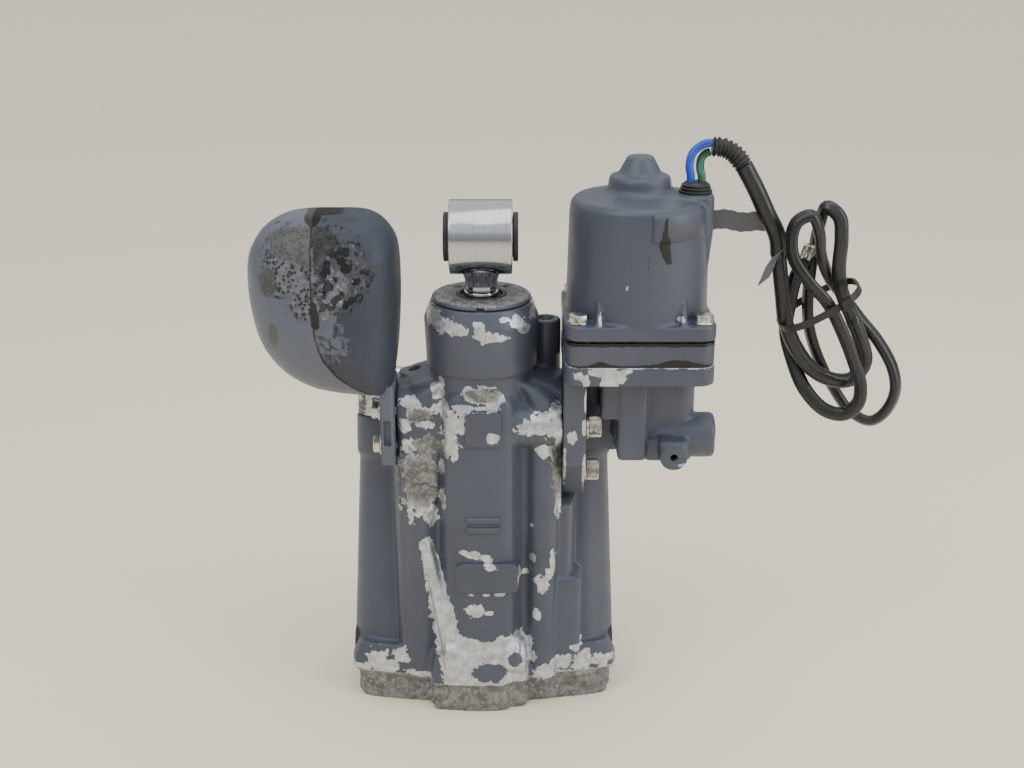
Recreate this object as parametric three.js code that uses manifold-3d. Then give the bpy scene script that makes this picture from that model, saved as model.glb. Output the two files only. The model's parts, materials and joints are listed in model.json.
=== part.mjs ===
// Power trim and tilt unit of an outboard motor, in millimetres.
// +X towards the electric motor, +Y away from the side with the square pad, +Z up.
// The origin is on the tilt cylinder's axis, on the flat underside of the casting.
import * as THREE from 'three';
import { mergeVertices } from 'three/addons/utils/BufferGeometryUtils.js';
import Module from 'manifold-3d';

const GAP = 0.3;

// tilt cylinder
const HEAD_R = 33.9;
const HEAD_TOP = 257;
const TILT_BORE_R = 26;
const TILT_BORE_FLOOR = 52;
const CAP_TOP = 260;
const CAP_R = 29.3;
const ROD_R = 10;
const EYE_Z = 294;
const EYE_R = 21.65;
const EYE_W = 36.6;
const BUSH_FLANGE_R = 14.25;
const BUSH_FLANGE_T = 3;
const PIN_R = 10;

// trim cylinders, leaning back so that their rods pass behind the tank and the motor
const TRIM_X = 55.5;
const TRIM_Y = 18;
const TRIM_Z = 60;
const TRIM_LEAN = 12 * Math.PI / 180;
const TRIM_BORE_R = 17;
const TRIM_ROD_R = 8;

// lower mount
const MOUNT_Z = 27;
const MOUNT_Y = 4;
const MOUNT_R = 11.5;
const MOUNT_PIN_R = 8.5;
const MOUNT_BUSH_IN = 60;
const MOUNT_BUSH_OUT = 82;

// tank
const TANK_Y = -14;
const TANK_WALL = 3;
const WING_X = -50.3;

// electric motor and pump
const MOTOR_X = 91;
const SHELL_R = 41;
const PAD_R = 41.9;
const PAD_START = (-83 / 180) * Math.PI;
const PAD_END = (-33 / 180) * Math.PI;
const FLANGE_HALF = 43;
const BOLT_PITCH = 35.5;
const BOLT_Y = 33;
const PUMP_Z = 216;
const MID_Z = 228;
const MOTOR_Z = 242;
const SHAFT_R = 4;
const FACE_X = 48.3;
const GEAR_C = 15;

// electric lead
const CABLE_R = 4.1;

const wasm = await Module();
wasm.setup();

// ---------- solids ----------

function solid(geometry) {
  let g = geometry.index ? geometry.toNonIndexed() : geometry.clone();
  g.deleteAttribute('normal');
  g.deleteAttribute('uv');
  g = mergeVertices(g, 1e-4);
  return new wasm.Manifold(new wasm.Mesh({
    numProp: 3,
    vertProperties: new Float32Array(g.attributes.position.array),
    triVerts: new Uint32Array(g.index.array),
  }));
}

function geometryOf(manifold) {
  const mesh = manifold.getMesh();
  const g = new THREE.BufferGeometry();
  g.setAttribute('position', new THREE.BufferAttribute(new Float32Array(mesh.vertProperties), 3));
  g.setIndex(new THREE.BufferAttribute(new Uint32Array(mesh.triVerts), 1));
  return g;
}

const join = (...list) => list.reduce((a, b) => a.add(b));
const cut = (a, ...list) => list.reduce((r, b) => r.subtract(b), a);

// turned piece about +Z from [radius, z] pairs
function turned(profile, segments = 22) {
  const points = profile.map(([r, z]) => new THREE.Vector2(r, z));
  const g = new THREE.LatheGeometry(points, segments);
  g.rotateX(Math.PI / 2);
  return g;
}

function rod(r, z0, z1, segments = 22, top = r) {
  return turned([[0, z0], [r, z0], [top, z1], [0, z1]], segments);
}

function ring(inner, outer, z0, z1, segments = 22) {
  return turned([[inner, z0], [outer, z0], [outer, z1], [inner, z1], [inner, z0]], segments);
}

function at(geometry, x, y, z = 0) {
  geometry.translate(x, y, z);
  return geometry;
}

// cylinder along +X between two stations
function barX(r, x0, x1, y, z, segments = 16) {
  const g = rod(r, x0, x1, segments);
  g.rotateY(Math.PI / 2);
  return at(g, 0, y, z);
}

// cylinder along +Y between two stations
function barY(r, y0, y1, x, z, segments = 12) {
  const g = rod(r, -y1, -y0, segments);
  g.rotateX(Math.PI / 2);
  return at(g, x, 0, z);
}

function block(x0, x1, y0, y1, z0, z1) {
  const g = new THREE.BoxGeometry(x1 - x0, y1 - y0, z1 - z0);
  return at(g, (x0 + x1) / 2, (y0 + y1) / 2, (z0 + z1) / 2);
}

// flat plate of any outline, extruded upward
function plate(outline, z0, z1) {
  const shape = new THREE.Shape(outline.map(([x, y]) => new THREE.Vector2(x, y)));
  return at(new THREE.ExtrudeGeometry(shape, { depth: z1 - z0, bevelEnabled: false }), 0, 0, z0);
}

// upright rounded rectangle, extruded upward
function roundBlock(x0, x1, y0, y1, r, z0, z1, steps = 3) {
  const s = new THREE.Shape();
  s.moveTo(x0 + r, y0);
  s.lineTo(x1 - r, y0);
  s.absarc(x1 - r, y0 + r, r, -Math.PI / 2, 0);
  s.lineTo(x1, y1 - r);
  s.absarc(x1 - r, y1 - r, r, 0, Math.PI / 2);
  s.lineTo(x0 + r, y1);
  s.absarc(x0 + r, y1 - r, r, Math.PI / 2, Math.PI);
  s.lineTo(x0, y0 + r);
  s.absarc(x0 + r, y0 + r, r, Math.PI, Math.PI * 1.5);
  return at(new THREE.ExtrudeGeometry(s, { depth: z1 - z0, bevelEnabled: false, curveSegments: steps }), 0, 0, z0);
}

// skin over a stack of closed rings with equal point counts
function loft(rings) {
  const n = rings[0].length;
  const positions = rings.flat(2);
  const index = [];
  for (let k = 0; k + 1 < rings.length; k += 1) {
    for (let i = 0; i < n; i += 1) {
      const j = (i + 1) % n;
      const a = k * n + i;
      const b = k * n + j;
      index.push(a, b, b + n, a, b + n, a + n);
    }
  }
  const flat = (r) => r.map(([x, y]) => new THREE.Vector2(x, y));
  const last = (rings.length - 1) * n;
  for (const [a, b, c] of THREE.ShapeUtils.triangulateShape(flat(rings[0]), [])) index.push(a, c, b);
  for (const [a, b, c] of THREE.ShapeUtils.triangulateShape(flat(rings.at(-1)), [])) {
    index.push(last + a, last + b, last + c);
  }
  const g = new THREE.BufferGeometry();
  g.setAttribute('position', new THREE.Float32BufferAttribute(positions, 3));
  g.setIndex(index);
  return g;
}

// tube of one radius along a smooth route
function cable(points, r, steps, sides = 8) {
  const route = new THREE.CatmullRomCurve3(points.map((p) => new THREE.Vector3(...p)), false, 'centripetal');
  const s = new THREE.Shape();
  s.absarc(0, 0, r, 0, Math.PI * 2);
  return new THREE.ExtrudeGeometry(s, {
    steps, bevelEnabled: false, extrudePath: route, curveSegments: sides,
  });
}

function hexNut(across, z0, z1) {
  return rod(across / Math.sqrt(3), z0, z1, 6);
}

// ---------- assembly ----------

const unit = new THREE.Group();

function finish(color, metalness, roughness) {
  return { color, metalness, roughness };
}

const PAINT = finish(0x4f565f, 0.1, 0.5);
const STEEL = finish(0xc0c3c6, 0.9, 0.3);
const DARK_STEEL = finish(0x7d8085, 0.8, 0.45);
const RUBBER = finish(0x17181a, 0, 0.75);
const PLASTIC = finish(0x454b54, 0, 0.55);
const COPPER = finish(0xb06a3a, 0.9, 0.35);
const ALLOY = finish(0xa7abb0, 0.8, 0.45);
const BRASS = finish(0xb59a55, 0.9, 0.35);
const BLUE = finish(0x1f4fb4, 0, 0.5);
const GREEN = finish(0x2c7a4d, 0, 0.5);

function add(name, shape, look) {
  const geometry = shape.isBufferGeometry ? shape : geometryOf(shape);
  const mesh = new THREE.Mesh(geometry, new THREE.MeshStandardMaterial(look));
  mesh.name = name;
  unit.add(mesh);
}

// turns a piece made on the local +Z axis into the leaning trim axis
function leaned(geometry, side) {
  geometry.rotateX(-TRIM_LEAN);
  return at(geometry, side * TRIM_X, TRIM_Y, TRIM_Z);
}

// ---------- casting ----------

// plan of the front web between the two trim barrels at one height
function webSection(z) {
  const f = (190 - z) * 0.03;
  return [
    [-52, -14 - f], [-46, -21 - f], [-38, -24 - f], [-31, -22 - f], [-26, -19 - f], [-23, -27 - f],
    [-17, -32 - f], [0, -33 - f], [15, -32 - f], [20, -28 - f], [24, -20 - f], [29, -20 - f],
    [33, -25 - f], [39, -26 - f], [44, -24 - f], [45.5, -18 - f], [54, -14 - f], [56, 30], [0, 34], [-54, 30],
  ].map(([x, y]) => [x, y, z]);
}

function baseSection(z, inset) {
  return [
    [-80, -12], [-77, -20], [-50, -24], [-32, -27], [-31, -36], [-16, -38], [0, -38.5], [12, -38],
    [17, -34], [26, -33], [28, -26], [50, -22], [76, -17], [81, -10], [80, 22], [70, 34], [-70, 34], [-80, 22],
  ].map(([x, y]) => [x * inset, y * inset, z]);
}

function trimBarrel(side) {
  const x = side * TRIM_X;
  const outer = solid(loft([[16, 5, 27.6], [120, 30.8, 24.3], [152, 37.6, 23]].map(([z, y, r]) => circle(x, y, r, z))));
  const collar = solid(leaned(rod(25, 88, 112, 20), side));
  return join(outer, collar);
}

function circle(x, y, r, z) {
  return Array.from({ length: 24 }, (_, i) => {
    const a = (i / 24) * Math.PI * 2;
    return [x + r * Math.cos(a), y + r * Math.sin(a), z];
  });
}

function leftWing() {
  return join(
    solid(barX(12.5, WING_X, 0, -12, 194)),
    solid(roundBlock(WING_X, -14, -24.5, 14, 5, 166, 196)),
    solid(loft([
      roundRing(-38, -26, -16, 8, 4, 118),
      roundRing(-47.4, -26, -25, 8, 4, 142),
      roundRing(-47.4, -24, -25, 8, 4, 168),
    ])),
    solid(at(rod(10, 150, 208, 20), -41, 13)),
  );
}

function roundRing(x0, x1, y0, y1, r, z) {
  const corners = [[x1 - r, y0 + r, -90], [x1 - r, y1 - r, 0], [x0 + r, y1 - r, 90], [x0 + r, y0 + r, 180]];
  return corners.flatMap(([cx, cy, a0]) => [0, 30, 60, 90].map((d) => {
    const a = (a0 + d) * Math.PI / 180;
    return [cx + r * Math.cos(a), cy + r * Math.sin(a), z];
  }));
}

function rightWing() {
  return join(
    solid(barX(13.5, 0, FACE_X, -17, 184)),
    solid(roundBlock(10, FACE_X, -21, 10, 3, 148, 186)),
    solid(barX(11.5, 10, FACE_X, 0, 148)),
    solid(at(rod(9, 120, 239, 16), 38.5, 20)),
  );
}

function frontPads() {
  return [
    roundBlock(-9.5, 11.6, 176, 198, 3, 28, 35.5),
    roundBlock(-9.5, 11, 127, 131, 1.9, 30, 36),
    roundBlock(-9.5, 11, 121, 125, 1.9, 30, 36.3),
    roundBlock(-16, 22, 82, 101.5, 4, 30, 37.4),
  ].map((g) => {
    g.rotateX(Math.PI / 2);
    return solid(g);
  });
}

function castingBores() {
  const tools = [
    solid(rod(TILT_BORE_R, TILT_BORE_FLOOR, HEAD_TOP + 5, 28)),
    solid(barX(MOUNT_R, -100, 100, MOUNT_Y, MOUNT_Z, 24)),
    solid(at(rod(4, 188, 215, 14), -41, 13)),
    solid(at(rod(5.5, 225, 245, 12), 38.5, 20)),
    solid(barX(3.3, -70, -30, -20, 194, 12)),
    solid(barX(3.3, -70, -30, -17, 171, 12)),
    solid(barX(4.3, 22, 60, -20, 184, 12)),
    solid(barX(4.3, 30, 60, 0, 148, 12)),
    solid(barX(5.5, -60, -24, -2, 184, 12)),
    solid(barX(3, 20, 60, 0, 200, 10)),
    solid(barX(3, 36, 60, 4, 172, 10)),
    solid(at(rod(3, 55, 172, 10), 38.5, 4)),
    solid(barX(3, 20, 38.5, 4, 56, 10)),
    solid(block(-70, WING_X, -45, 4, 158, 230)),
    solid(block(FACE_X, 82, -45, 10.3, 132, 220)),
  ];
  for (const side of [-1, 1]) {
    tools.push(solid(leaned(rod(TRIM_BORE_R, 0, 130, 20), side)));
    tools.push(solid(leaned(rod(24.4, 112, 190, 20), side)));
  }
  return tools;
}

function cylinderHousing() {
  const head = solid(turned([[0, 20], [31, 20], [31, 216], [32.9, 217.5], [HEAD_R, 246], [29.6, HEAD_TOP], [0, HEAD_TOP]], 20));
  const web = solid(loft([webSection(14), webSection(200)]));
  const shoulder = solid(loft([webSection(199.5), webSection(212).map(([x, y, z]) => [x * 0.5, y * 0.85, z])]));
  const base = solid(loft([baseSection(0, 0.985), baseSection(3, 1), baseSection(19, 1)]));
  const skirt = solid(loft([baseSection(17.5, 1.035), baseSection(28, 1.03), baseSection(36, 0.97)]));
  const boss = join(
    solid(barX(12, -23.5, 27, -27.5, 34.5)),
    solid(barX(13, -23.5, -15, -27.5, 36)),
    solid(barX(13, 14, 22, -27.5, 36)),
  );
  const body = join(head, web, shoulder, base, skirt, boss, trimBarrel(-1), trimBarrel(1),
    leftWing(), rightWing(), ...frontPads());
  const trimmed = body.intersect(solid(block(-200, 200, -200, 200, 0, 400)));
  add('cylinder_housing', cut(trimmed, ...castingBores()), PAINT);
}

// ---------- tilt cylinder ----------

function tiltCap() {
  const body = solid(turned([
    [ROD_R + GAP, 236], [TILT_BORE_R - GAP, 236], [TILT_BORE_R - GAP, HEAD_TOP + GAP], [CAP_R, HEAD_TOP + GAP],
    [CAP_R, CAP_TOP - 1.5], [CAP_R - 1.5, CAP_TOP], [14.6, CAP_TOP], [14.6, CAP_TOP - 4],
    [ROD_R + GAP, CAP_TOP - 4], [ROD_R + GAP, 236],
  ], 20));
  const tools = [solid(block(-2.3, 2.3, -CAP_R - 2, -CAP_R + 2.5, 250, 265))];
  for (const a of [45, 135, 225, 315]) {
    const t = a * Math.PI / 180;
    tools.push(solid(at(rod(2, CAP_TOP - 3, CAP_TOP + 2, 10), 20 * Math.cos(t), 20 * Math.sin(t))));
  }
  add('tilt_cap', cut(body, ...tools), DARK_STEEL);
  add('tilt_wiper_seal', turned([
    [ROD_R + GAP, CAP_TOP - 3.7], [14.3, CAP_TOP - 3.7], [14.3, CAP_TOP + 0.3], [12.6, CAP_TOP + 0.3],
    [12.2, CAP_TOP - 2], [ROD_R + GAP, CAP_TOP - 2.4], [ROD_R + GAP, CAP_TOP - 3.7],
  ]), RUBBER);
}

function tiltRod() {
  add('tilt_rod', turned([
    [0, 60], [6.8, 60], [6.8, 95.3], [ROD_R, 95.3], [ROD_R, 262], [7, 262], [7, 271.5], [0, 271.5],
  ]), STEEL);
  const neck = solid(turned([
    [0, 262.3], [9.6, 262.3], [9.2, 265.5], [9.8, 269], [11.4, 272.5], [13.2, 276.5], [13.2, 280], [0, 280],
  ]));
  const barrel = solid(barX(EYE_R, -EYE_W / 2, EYE_W / 2, 0, EYE_Z, 22));
  const pocket = solid(rod(7.3, 255, 271.8));
  const bore = solid(barX(11.8, -40, 40, 0, EYE_Z, 22));
  add('rod_eye', cut(join(neck, barrel), pocket, bore), STEEL);
  for (const [name, side] of [['eye_bush_left', -1], ['eye_bush_right', 1]]) {
    const face = EYE_W / 2 + GAP;
    const g = turned([
      [PIN_R, 0.4], [11.5, 0.4], [11.5, face], [BUSH_FLANGE_R, face], [BUSH_FLANGE_R, face + BUSH_FLANGE_T],
      [PIN_R, face + BUSH_FLANGE_T], [PIN_R, 0.4],
    ], 20);
    g.rotateY(side * Math.PI / 2);
    add(name, at(g, 0, 0, EYE_Z), RUBBER);
  }
}

function tiltPiston() {
  const r = TILT_BORE_R - GAP;
  add('tilt_piston', turned([
    [7.1, 75], [r, 75], [r, 82], [22, 82], [22, 88], [r, 88], [r, 95], [7.1, 95], [7.1, 75],
  ]), ALLOY);
  add('tilt_piston_ring', ring(22.3, r, 82.3, 87.7), RUBBER);
  add('tilt_piston_nut', cut(solid(hexNut(22, 66, 74.7)), solid(rod(7.1, 60, 80))), STEEL);
  add('free_piston', turned([[0, 54], [r, 54], [r, 59.6], [0, 59.6]]), ALLOY);
}

// ---------- trim cylinders ----------

function trimCylinder(name, side) {
  const bore = TRIM_BORE_R - GAP;
  const put = (g) => leaned(g, side);
  add(`${name}_trim_rod`, put(turned([
    [0, 6], [5, 6], [5, 26.3], [TRIM_ROD_R, 26.3], [TRIM_ROD_R, 138.5], [5, 141.2], [0, 141.8],
  ], 24)), STEEL);
  add(`${name}_trim_piston`, put(turned([
    [5.3, 8], [bore, 8], [bore, 26], [5.3, 26], [5.3, 8],
  ], 20)), ALLOY);
  add(`${name}_trim_cap`, put(turned([
    [TRIM_ROD_R + GAP, 100], [bore, 100], [bore, 112.3], [24, 112.3], [24, 134], [22, 136.5], [12.3, 136.5],
    [12.3, 133.5], [TRIM_ROD_R + GAP, 133.5], [TRIM_ROD_R + GAP, 100],
  ], 20)), PAINT);
  add(`${name}_trim_wiper`, put(ring(TRIM_ROD_R + GAP, 12, 133.8, 137.2, 20)), RUBBER);
}

// ---------- lower mount ----------

function lowerBushes() {
  for (const [name, side] of [['lower_bush_left', -1], ['lower_bush_right', 1]]) {
    const g = ring(MOUNT_PIN_R, MOUNT_R - GAP, MOUNT_BUSH_IN, MOUNT_BUSH_OUT, 24);
    g.rotateY(side * Math.PI / 2);
    add(name, at(g, 0, MOUNT_Y, MOUNT_Z), RUBBER);
  }
}

// ---------- tank ----------

const TANK_OUTLINE = [
  [-46, 267], [-46.5, 289], [-49, 299], [-56, 308], [-66, 312.5], [-82, 313], [-98, 312.7], [-110, 310.5],
  [-121, 304.5], [-128, 296], [-132, 286], [-132.8, 272], [-131.8, 258], [-128.4, 241], [-122, 228],
  [-112, 217], [-99, 209.5], [-86, 206], [-74, 204.5], [-62, 203.8], [-53, 204.5], [-50, 220], [-47.5, 240],
];

// pillow-shaped tank body, shrunk inward by a wall thickness
function tankBody(inset) {
  const depth = 34 - inset;
  const [cx, cz] = [-90, 260];
  const rings = [];
  for (const t of [-1, -0.93, -0.8, -0.6, -0.3, 0.3, 0.6, 0.8, 0.93, 1]) {
    const s = Math.abs(t) === 1 ? 0.52 : (1 - Math.abs(t) ** 2.6) ** (1 / 2.6);
    rings.push(TANK_OUTLINE.map(([x, z]) => {
      const k = s * (1 - inset / Math.hypot(x - cx, z - cz));
      return [cx + (x - cx) * k, cz + (z - cz) * k, t * depth];
    }));
  }
  const g = loft(rings);
  g.rotateX(Math.PI / 2);
  return solid(at(g, 0, TANK_Y));
}

function seamRegion(shift) {
  const s = shift;
  const g = plate([
    [-93 + s, 330], [-93 + s, 246], [-89 + s, 232], [-81 + s, 220 + s], [-66 + s, 209 + s], [-59 + s, 203 + s],
    [-59 + s, 150], [-20, 150], [-20, 330],
  ], -80, 80);
  g.rotateX(Math.PI / 2);
  return solid(g);
}

function tank() {
  const neck = solid(roundBlock(-59, WING_X - GAP, -31, 2, 2.5, 160, 218));
  const inside = join(tankBody(TANK_WALL), solid(at(rod(2.5, 180, 215, 10), -54.6, -6)));
  const passage = solid(barX(3.5, -56, -40, -6, 184, 12));
  const openings = [passage];
  for (const [y, z] of [[-20, 194], [-17, 171]]) openings.push(solid(barX(3.3, -70, -40, y, z, 12)));
  const shell = tankBody(0);
  const inner = cut(join(shell.intersect(seamRegion(0)), neck), inside, ...openings);
  const outer = cut(cut(shell, seamRegion(-GAP)), inside, solid(roundBlock(-59 - GAP, -20, -32, 3, 2, 100, 219)));
  add('tank_inner_half', inner, PLASTIC);
  add('tank_outer_half', cut(outer, solid(barY(6.3, 0, 60, -104, 284, 16))), PLASTIC);
  add('tank_fill_plug', join(
    solid(barY(6, 10, 20.6, -104, 284, 16)),
    solid(barY(9, 20.6, 24, -104, 284, 16)),
  ), RUBBER);
  add('tank_port_ring', tankRing(), RUBBER);
  for (const [name, y, z] of [['tank_bolt_upper', -20, 194], ['tank_bolt_lower', -17, 171]]) {
    const hex = hexNut(9.6, 0.9, 5.2);
    const g = join(solid(rod(3, -22, 0, 12)), solid(rod(6.2, 0, 0.9, 16)), solid(hex));
    add(name, g.rotate([0, -90, 0]).translate([-59.3, y, z]), STEEL);
  }
}

function tankRing() {
  const g = ring(3.8, 5.2, 0.2, 3.2, 14);
  g.rotateY(Math.PI / 2);
  return at(g, WING_X, -2, 184);
}

// ---------- electric motor ----------

function flange(z0, z1) {
  return roundBlock(MOTOR_X - FLANGE_HALF, MOTOR_X + FLANGE_HALF, -42, 42, 9, z0, z1);
}

function boltHoles(z0, z1) {
  const holes = [];
  for (const x of [-BOLT_PITCH, BOLT_PITCH]) {
    for (const y of [-BOLT_Y, BOLT_Y]) holes.push(solid(at(rod(3.3, z0, z1, 12), MOTOR_X + x, y)));
  }
  return holes;
}

// shallow raised field over part of the motor shell
function padSection(z) {
  const steps = 10;
  const arc = (r) => Array.from({ length: steps + 1 }, (_, i) => {
    const a = PAD_START + ((PAD_END - PAD_START) * i) / steps;
    return [MOTOR_X + r * Math.cos(a), r * Math.sin(a), z];
  });
  return [...arc(PAD_R), ...arc(SHELL_R - 3).reverse()];
}

function motorHousing() {
  const shell = solid(at(turned([
    [0, MOTOR_Z + GAP], [SHELL_R, MOTOR_Z + GAP], [SHELL_R - 0.9, 310], [SHELL_R - 1.8, 314.5], [SHELL_R - 4.5, 317],
    [29, 318.4], [21.5, 320], [18.3, 322.5], [17.8, 328], [16.4, 330.2], [12.4, 330.6], [7.4, 340.4], [6.6, 341], [0, 341],
  ], 20), MOTOR_X, 0));
  const boss = solid(loft([
    roundRing(110, 133, -15, 7, 6, 292), roundRing(110, 133, -15, 7, 6, 320),
  ]));
  const pad = solid(loft([padSection(283.5), padSection(308.7)]));
  const gussets = [-BOLT_PITCH + 11.5, BOLT_PITCH - 11.5].map((x) => solid(loft([
    roundRing(MOTOR_X + x - 1.5, MOTOR_X + x + 1.5, -40, -28, 1, 250),
    roundRing(MOTOR_X + x - 1.5, MOTOR_X + x + 1.5, -36, -28, 1, 261),
  ])));
  const hollow = [
    solid(at(rod(37.2, 230, 307, 24), MOTOR_X, 0)),
    solid(at(rod(12, 300, 322, 20), MOTOR_X, 0)),
    solid(at(rod(7.3, 321, 330, 16), MOTOR_X, 0)),
    solid(at(rod(6.3, 300, 330, 14), 122.5, -4)),
  ];
  const body = join(shell, solid(flange(MOTOR_Z + GAP, 251.4)), boss, pad, ...gussets);
  add('motor_housing', cut(body, ...hollow, ...boltHoles(200, 260)), PAINT);
}

function motorInside() {
  const put = (g) => at(g, MOTOR_X, 0);
  add('motor_top_bearing', put(ring(SHAFT_R + GAP, 7, 321.3, 328, 16)), BRASS);
  for (const [name, a0] of [['motor_magnet_front', -Math.PI * 0.86], ['motor_magnet_rear', Math.PI * 0.14]]) {
    const s = new THREE.Shape();
    s.absarc(0, 0, 36.8, a0, a0 + Math.PI * 0.72);
    s.absarc(0, 0, 31, a0 + Math.PI * 0.72, a0, true);
    const g = new THREE.ExtrudeGeometry(s, { depth: 44, bevelEnabled: false, curveSegments: 8 });
    add(name, at(g, MOTOR_X, 0, 250), DARK_STEEL);
  }
  add('armature_core', armatureCore(), DARK_STEEL);
  add('armature_winding', armatureWinding(), COPPER);
  add('commutator', put(ring(SHAFT_R + GAP, 10.5, 298.5, 309, 20)), COPPER);
  add('armature_shaft', put(turned([
    [0, 219.8], [3, 219.8], [3, 227.6], [SHAFT_R, 227.6], [SHAFT_R, 327], [0, 327],
  ], 16)), STEEL);
  add('brush_plate', cut(solid(put(ring(13, 36.8, 297, 299.5, 20))), solid(at(rod(4, 290, 305, 12), 122.5, -4))), PLASTIC);
  for (const [name, side] of [['brush_left', -1], ['brush_right', 1]]) {
    const x0 = MOTOR_X + (side > 0 ? 10.9 : -20);
    add(name, block(x0, x0 + 9.1, -3, 3, 299.8, 305.8), RUBBER);
  }
}

function armatureCore() {
  let core = solid(at(ring(SHAFT_R + GAP, 30, 254, 290, 24), MOTOR_X, 0));
  for (let i = 0; i < 12; i += 1) {
    const a = (i / 12) * Math.PI * 2;
    const slot = block(24, 32, -1.2, 1.2, 250, 295);
    slot.rotateZ(a);
    core = core.subtract(solid(at(slot, MOTOR_X, 0)));
  }
  return core;
}

// end turns above and below the core, tied by the coil sides lying in its slots
function armatureWinding() {
  const ends = [[247, 253.7], [290.3, 296]].map(([z0, z1]) => solid(turned([
    [13, z0], [23, z0], [28.5, z0 + 2], [28.5, z1 - 2], [24, z1], [13, z1], [13, z0],
  ], 24)));
  let coil = join(...ends);
  for (let i = 0; i < 12; i += 1) {
    const bar = block(24.6, 28, -0.8, 0.8, 252, 292);
    bar.rotateZ((i / 12) * Math.PI * 2);
    coil = coil.add(solid(bar));
  }
  return coil.translate([MOTOR_X, 0, 0]);
}

function midPlate() {
  const body = solid(flange(MID_Z, MOTOR_Z));
  const tools = [
    solid(at(rod(SHAFT_R + GAP, 220, 245, 20), MOTOR_X, 0)),
    solid(at(rod(9.3, 234, 245, 20), MOTOR_X, 0)),
    ...boltHoles(200, 260),
  ];
  add('motor_mid_plate', cut(body, ...tools), ALLOY);
  add('shaft_seal', at(ring(SHAFT_R + GAP, 9, 234.3, 241, 20), MOTOR_X, 0), RUBBER);
}

function motorBolts() {
  let i = 0;
  for (const [x, y] of [[-1, -1], [1, -1], [-1, 1], [1, 1]]) {
    i += 1;
    const g = join(
      solid(rod(3, 219, 251.7, 12)), solid(rod(6.4, 251.7, 252.9, 16)), solid(hexNut(10, 252.9, 257.2)),
    );
    add(`motor_bolt_${i}`, g.translate([MOTOR_X + x * BOLT_PITCH, y * BOLT_Y, 0]), STEEL);
  }
}

// ---------- pump ----------

function pumpBody() {
  const mount = plate([[-31, 218], [-31, 163], [-10, 136], [9.7, 136], [9.7, 218]].map(([y, z]) => [z, y]), FACE_X + GAP, 61.3);
  mount.rotateY(Math.PI / 2);
  mount.scale(1, 1, -1);
  flipWinding(mount);
  const body = join(
    solid(flange(PUMP_Z, MID_Z - GAP)),
    solid(mount),
    solid(block(60, 80, -4, 9.7, 162, PUMP_Z + 2)),
    solid(roundBlock(78, 126, -22, 22, 8, 172, PUMP_Z + 2)),
    solid(roundBlock(80, 97, -31, 0, 3, 166, PUMP_Z + 2)),
    solid(barX(13.5, 92, 138.4, -14, 176.5, 24)),
    solid(barY(8.2, -37, -14, 112.5, 172)),
  );
  const tools = [
    solid(at(rod(9.4, 219.5, 230, 24), MOTOR_X, 0)),
    solid(at(rod(9.4, 219.5, 230, 24), MOTOR_X, GEAR_C)),
    solid(at(rod(3.4, 205, 225, 14), MOTOR_X, GEAR_C)),
    solid(barX(7, 104, 150, -14, 176.5, 18)),
    solid(barY(2.3, -40, -29, 112.5, 172, 12)),
    solid(barX(4.3, 40, 70, -20, 184, 12)),
    solid(barX(4.3, 40, 70, 0, 148, 12)),
    solid(barY(6, -16, 40, 104, 199, 16)),
    solid(barX(2.6, 40, 70, 0, 200, 10)),
    solid(barX(2.6, 40, 70, 4, 172, 10)),
    ...boltHoles(218.5, 240),
  ];
  add('pump_body', cut(body, ...tools), PAINT);
}

function flipWinding(geometry) {
  const index = geometry.index;
  const p = geometry.attributes.position;
  const n = index ? index.count : p.count;
  for (let i = 0; i < n; i += 3) {
    if (index) {
      const a = index.getX(i);
      index.setX(i, index.getX(i + 1));
      index.setX(i + 1, a);
    } else {
      const a = [p.getX(i), p.getY(i), p.getZ(i)];
      p.setXYZ(i, p.getX(i + 1), p.getY(i + 1), p.getZ(i + 1));
      p.setXYZ(i + 1, ...a);
    }
  }
}

// spur gear blank with straight-sided teeth
function gearOutline(phase) {
  const teeth = 10;
  const points = [];
  for (let i = 0; i < teeth; i += 1) {
    const a = phase + (i / teeth) * Math.PI * 2;
    for (const [r, d] of [[5.9, -12.5], [8.9, -3.2], [8.9, 3.2], [5.9, 12.5]]) {
      const t = a + d * Math.PI / 180;
      points.push([r * Math.cos(t), r * Math.sin(t)]);
    }
  }
  return points;
}

function pumpGears() {
  const drive = cut(solid(plate(gearOutline(Math.PI / 2), 220, 227.3)), solid(rod(3.3, 210, 230, 16)));
  add('pump_drive_gear', drive.translate([MOTOR_X, 0, 0]), STEEL);
  const driven = join(
    solid(plate(gearOutline(Math.PI / 2 + Math.PI / 10), 220, 227.3)),
    solid(rod(3.1, 206, 221, 14)),
  );
  add('pump_driven_gear', driven.translate([MOTOR_X, GEAR_C, 0]), STEEL);
}

function pumpValves() {
  add('shuttle_spool', join(
    solid(barY(5.7, -11, -5, 104, 199)), solid(barY(3, -6, 4, 104, 199, 12)), solid(barY(5.7, 3, 9, 104, 199)),
  ), STEEL);
  add('shuttle_plug', join(solid(barY(5.7, 14, 22.3, 104, 199)), solid(barY(8, 22.3, 25, 104, 199, 6))), STEEL);
  const screw = join(solid(barX(6.7, 118, 134, -14, 176.5, 16)), solid(barX(3, 106, 119, -14, 176.5, 12)));
  add('manual_valve_screw', cut(screw, solid(block(131.5, 140, -21, -7, 175.6, 177.4))), BRASS);
}

function pumpScrews() {
  for (const [name, y, z] of [['pump_screw_upper', -20, 184], ['pump_screw_lower', 0, 148]]) {
    const g = cut(
      join(solid(rod(4, -26, 0, 14)), solid(rod(7.6, 0, 1.4, 20)), solid(rod(6.5, 1.4, 9.4, 20))),
      solid(hexNut(6, 5, 14)),
    );
    add(name, g.rotate([0, 90, 0]).translate([61.6, y, z]), STEEL);
  }
}

// ---------- electric lead ----------

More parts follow.
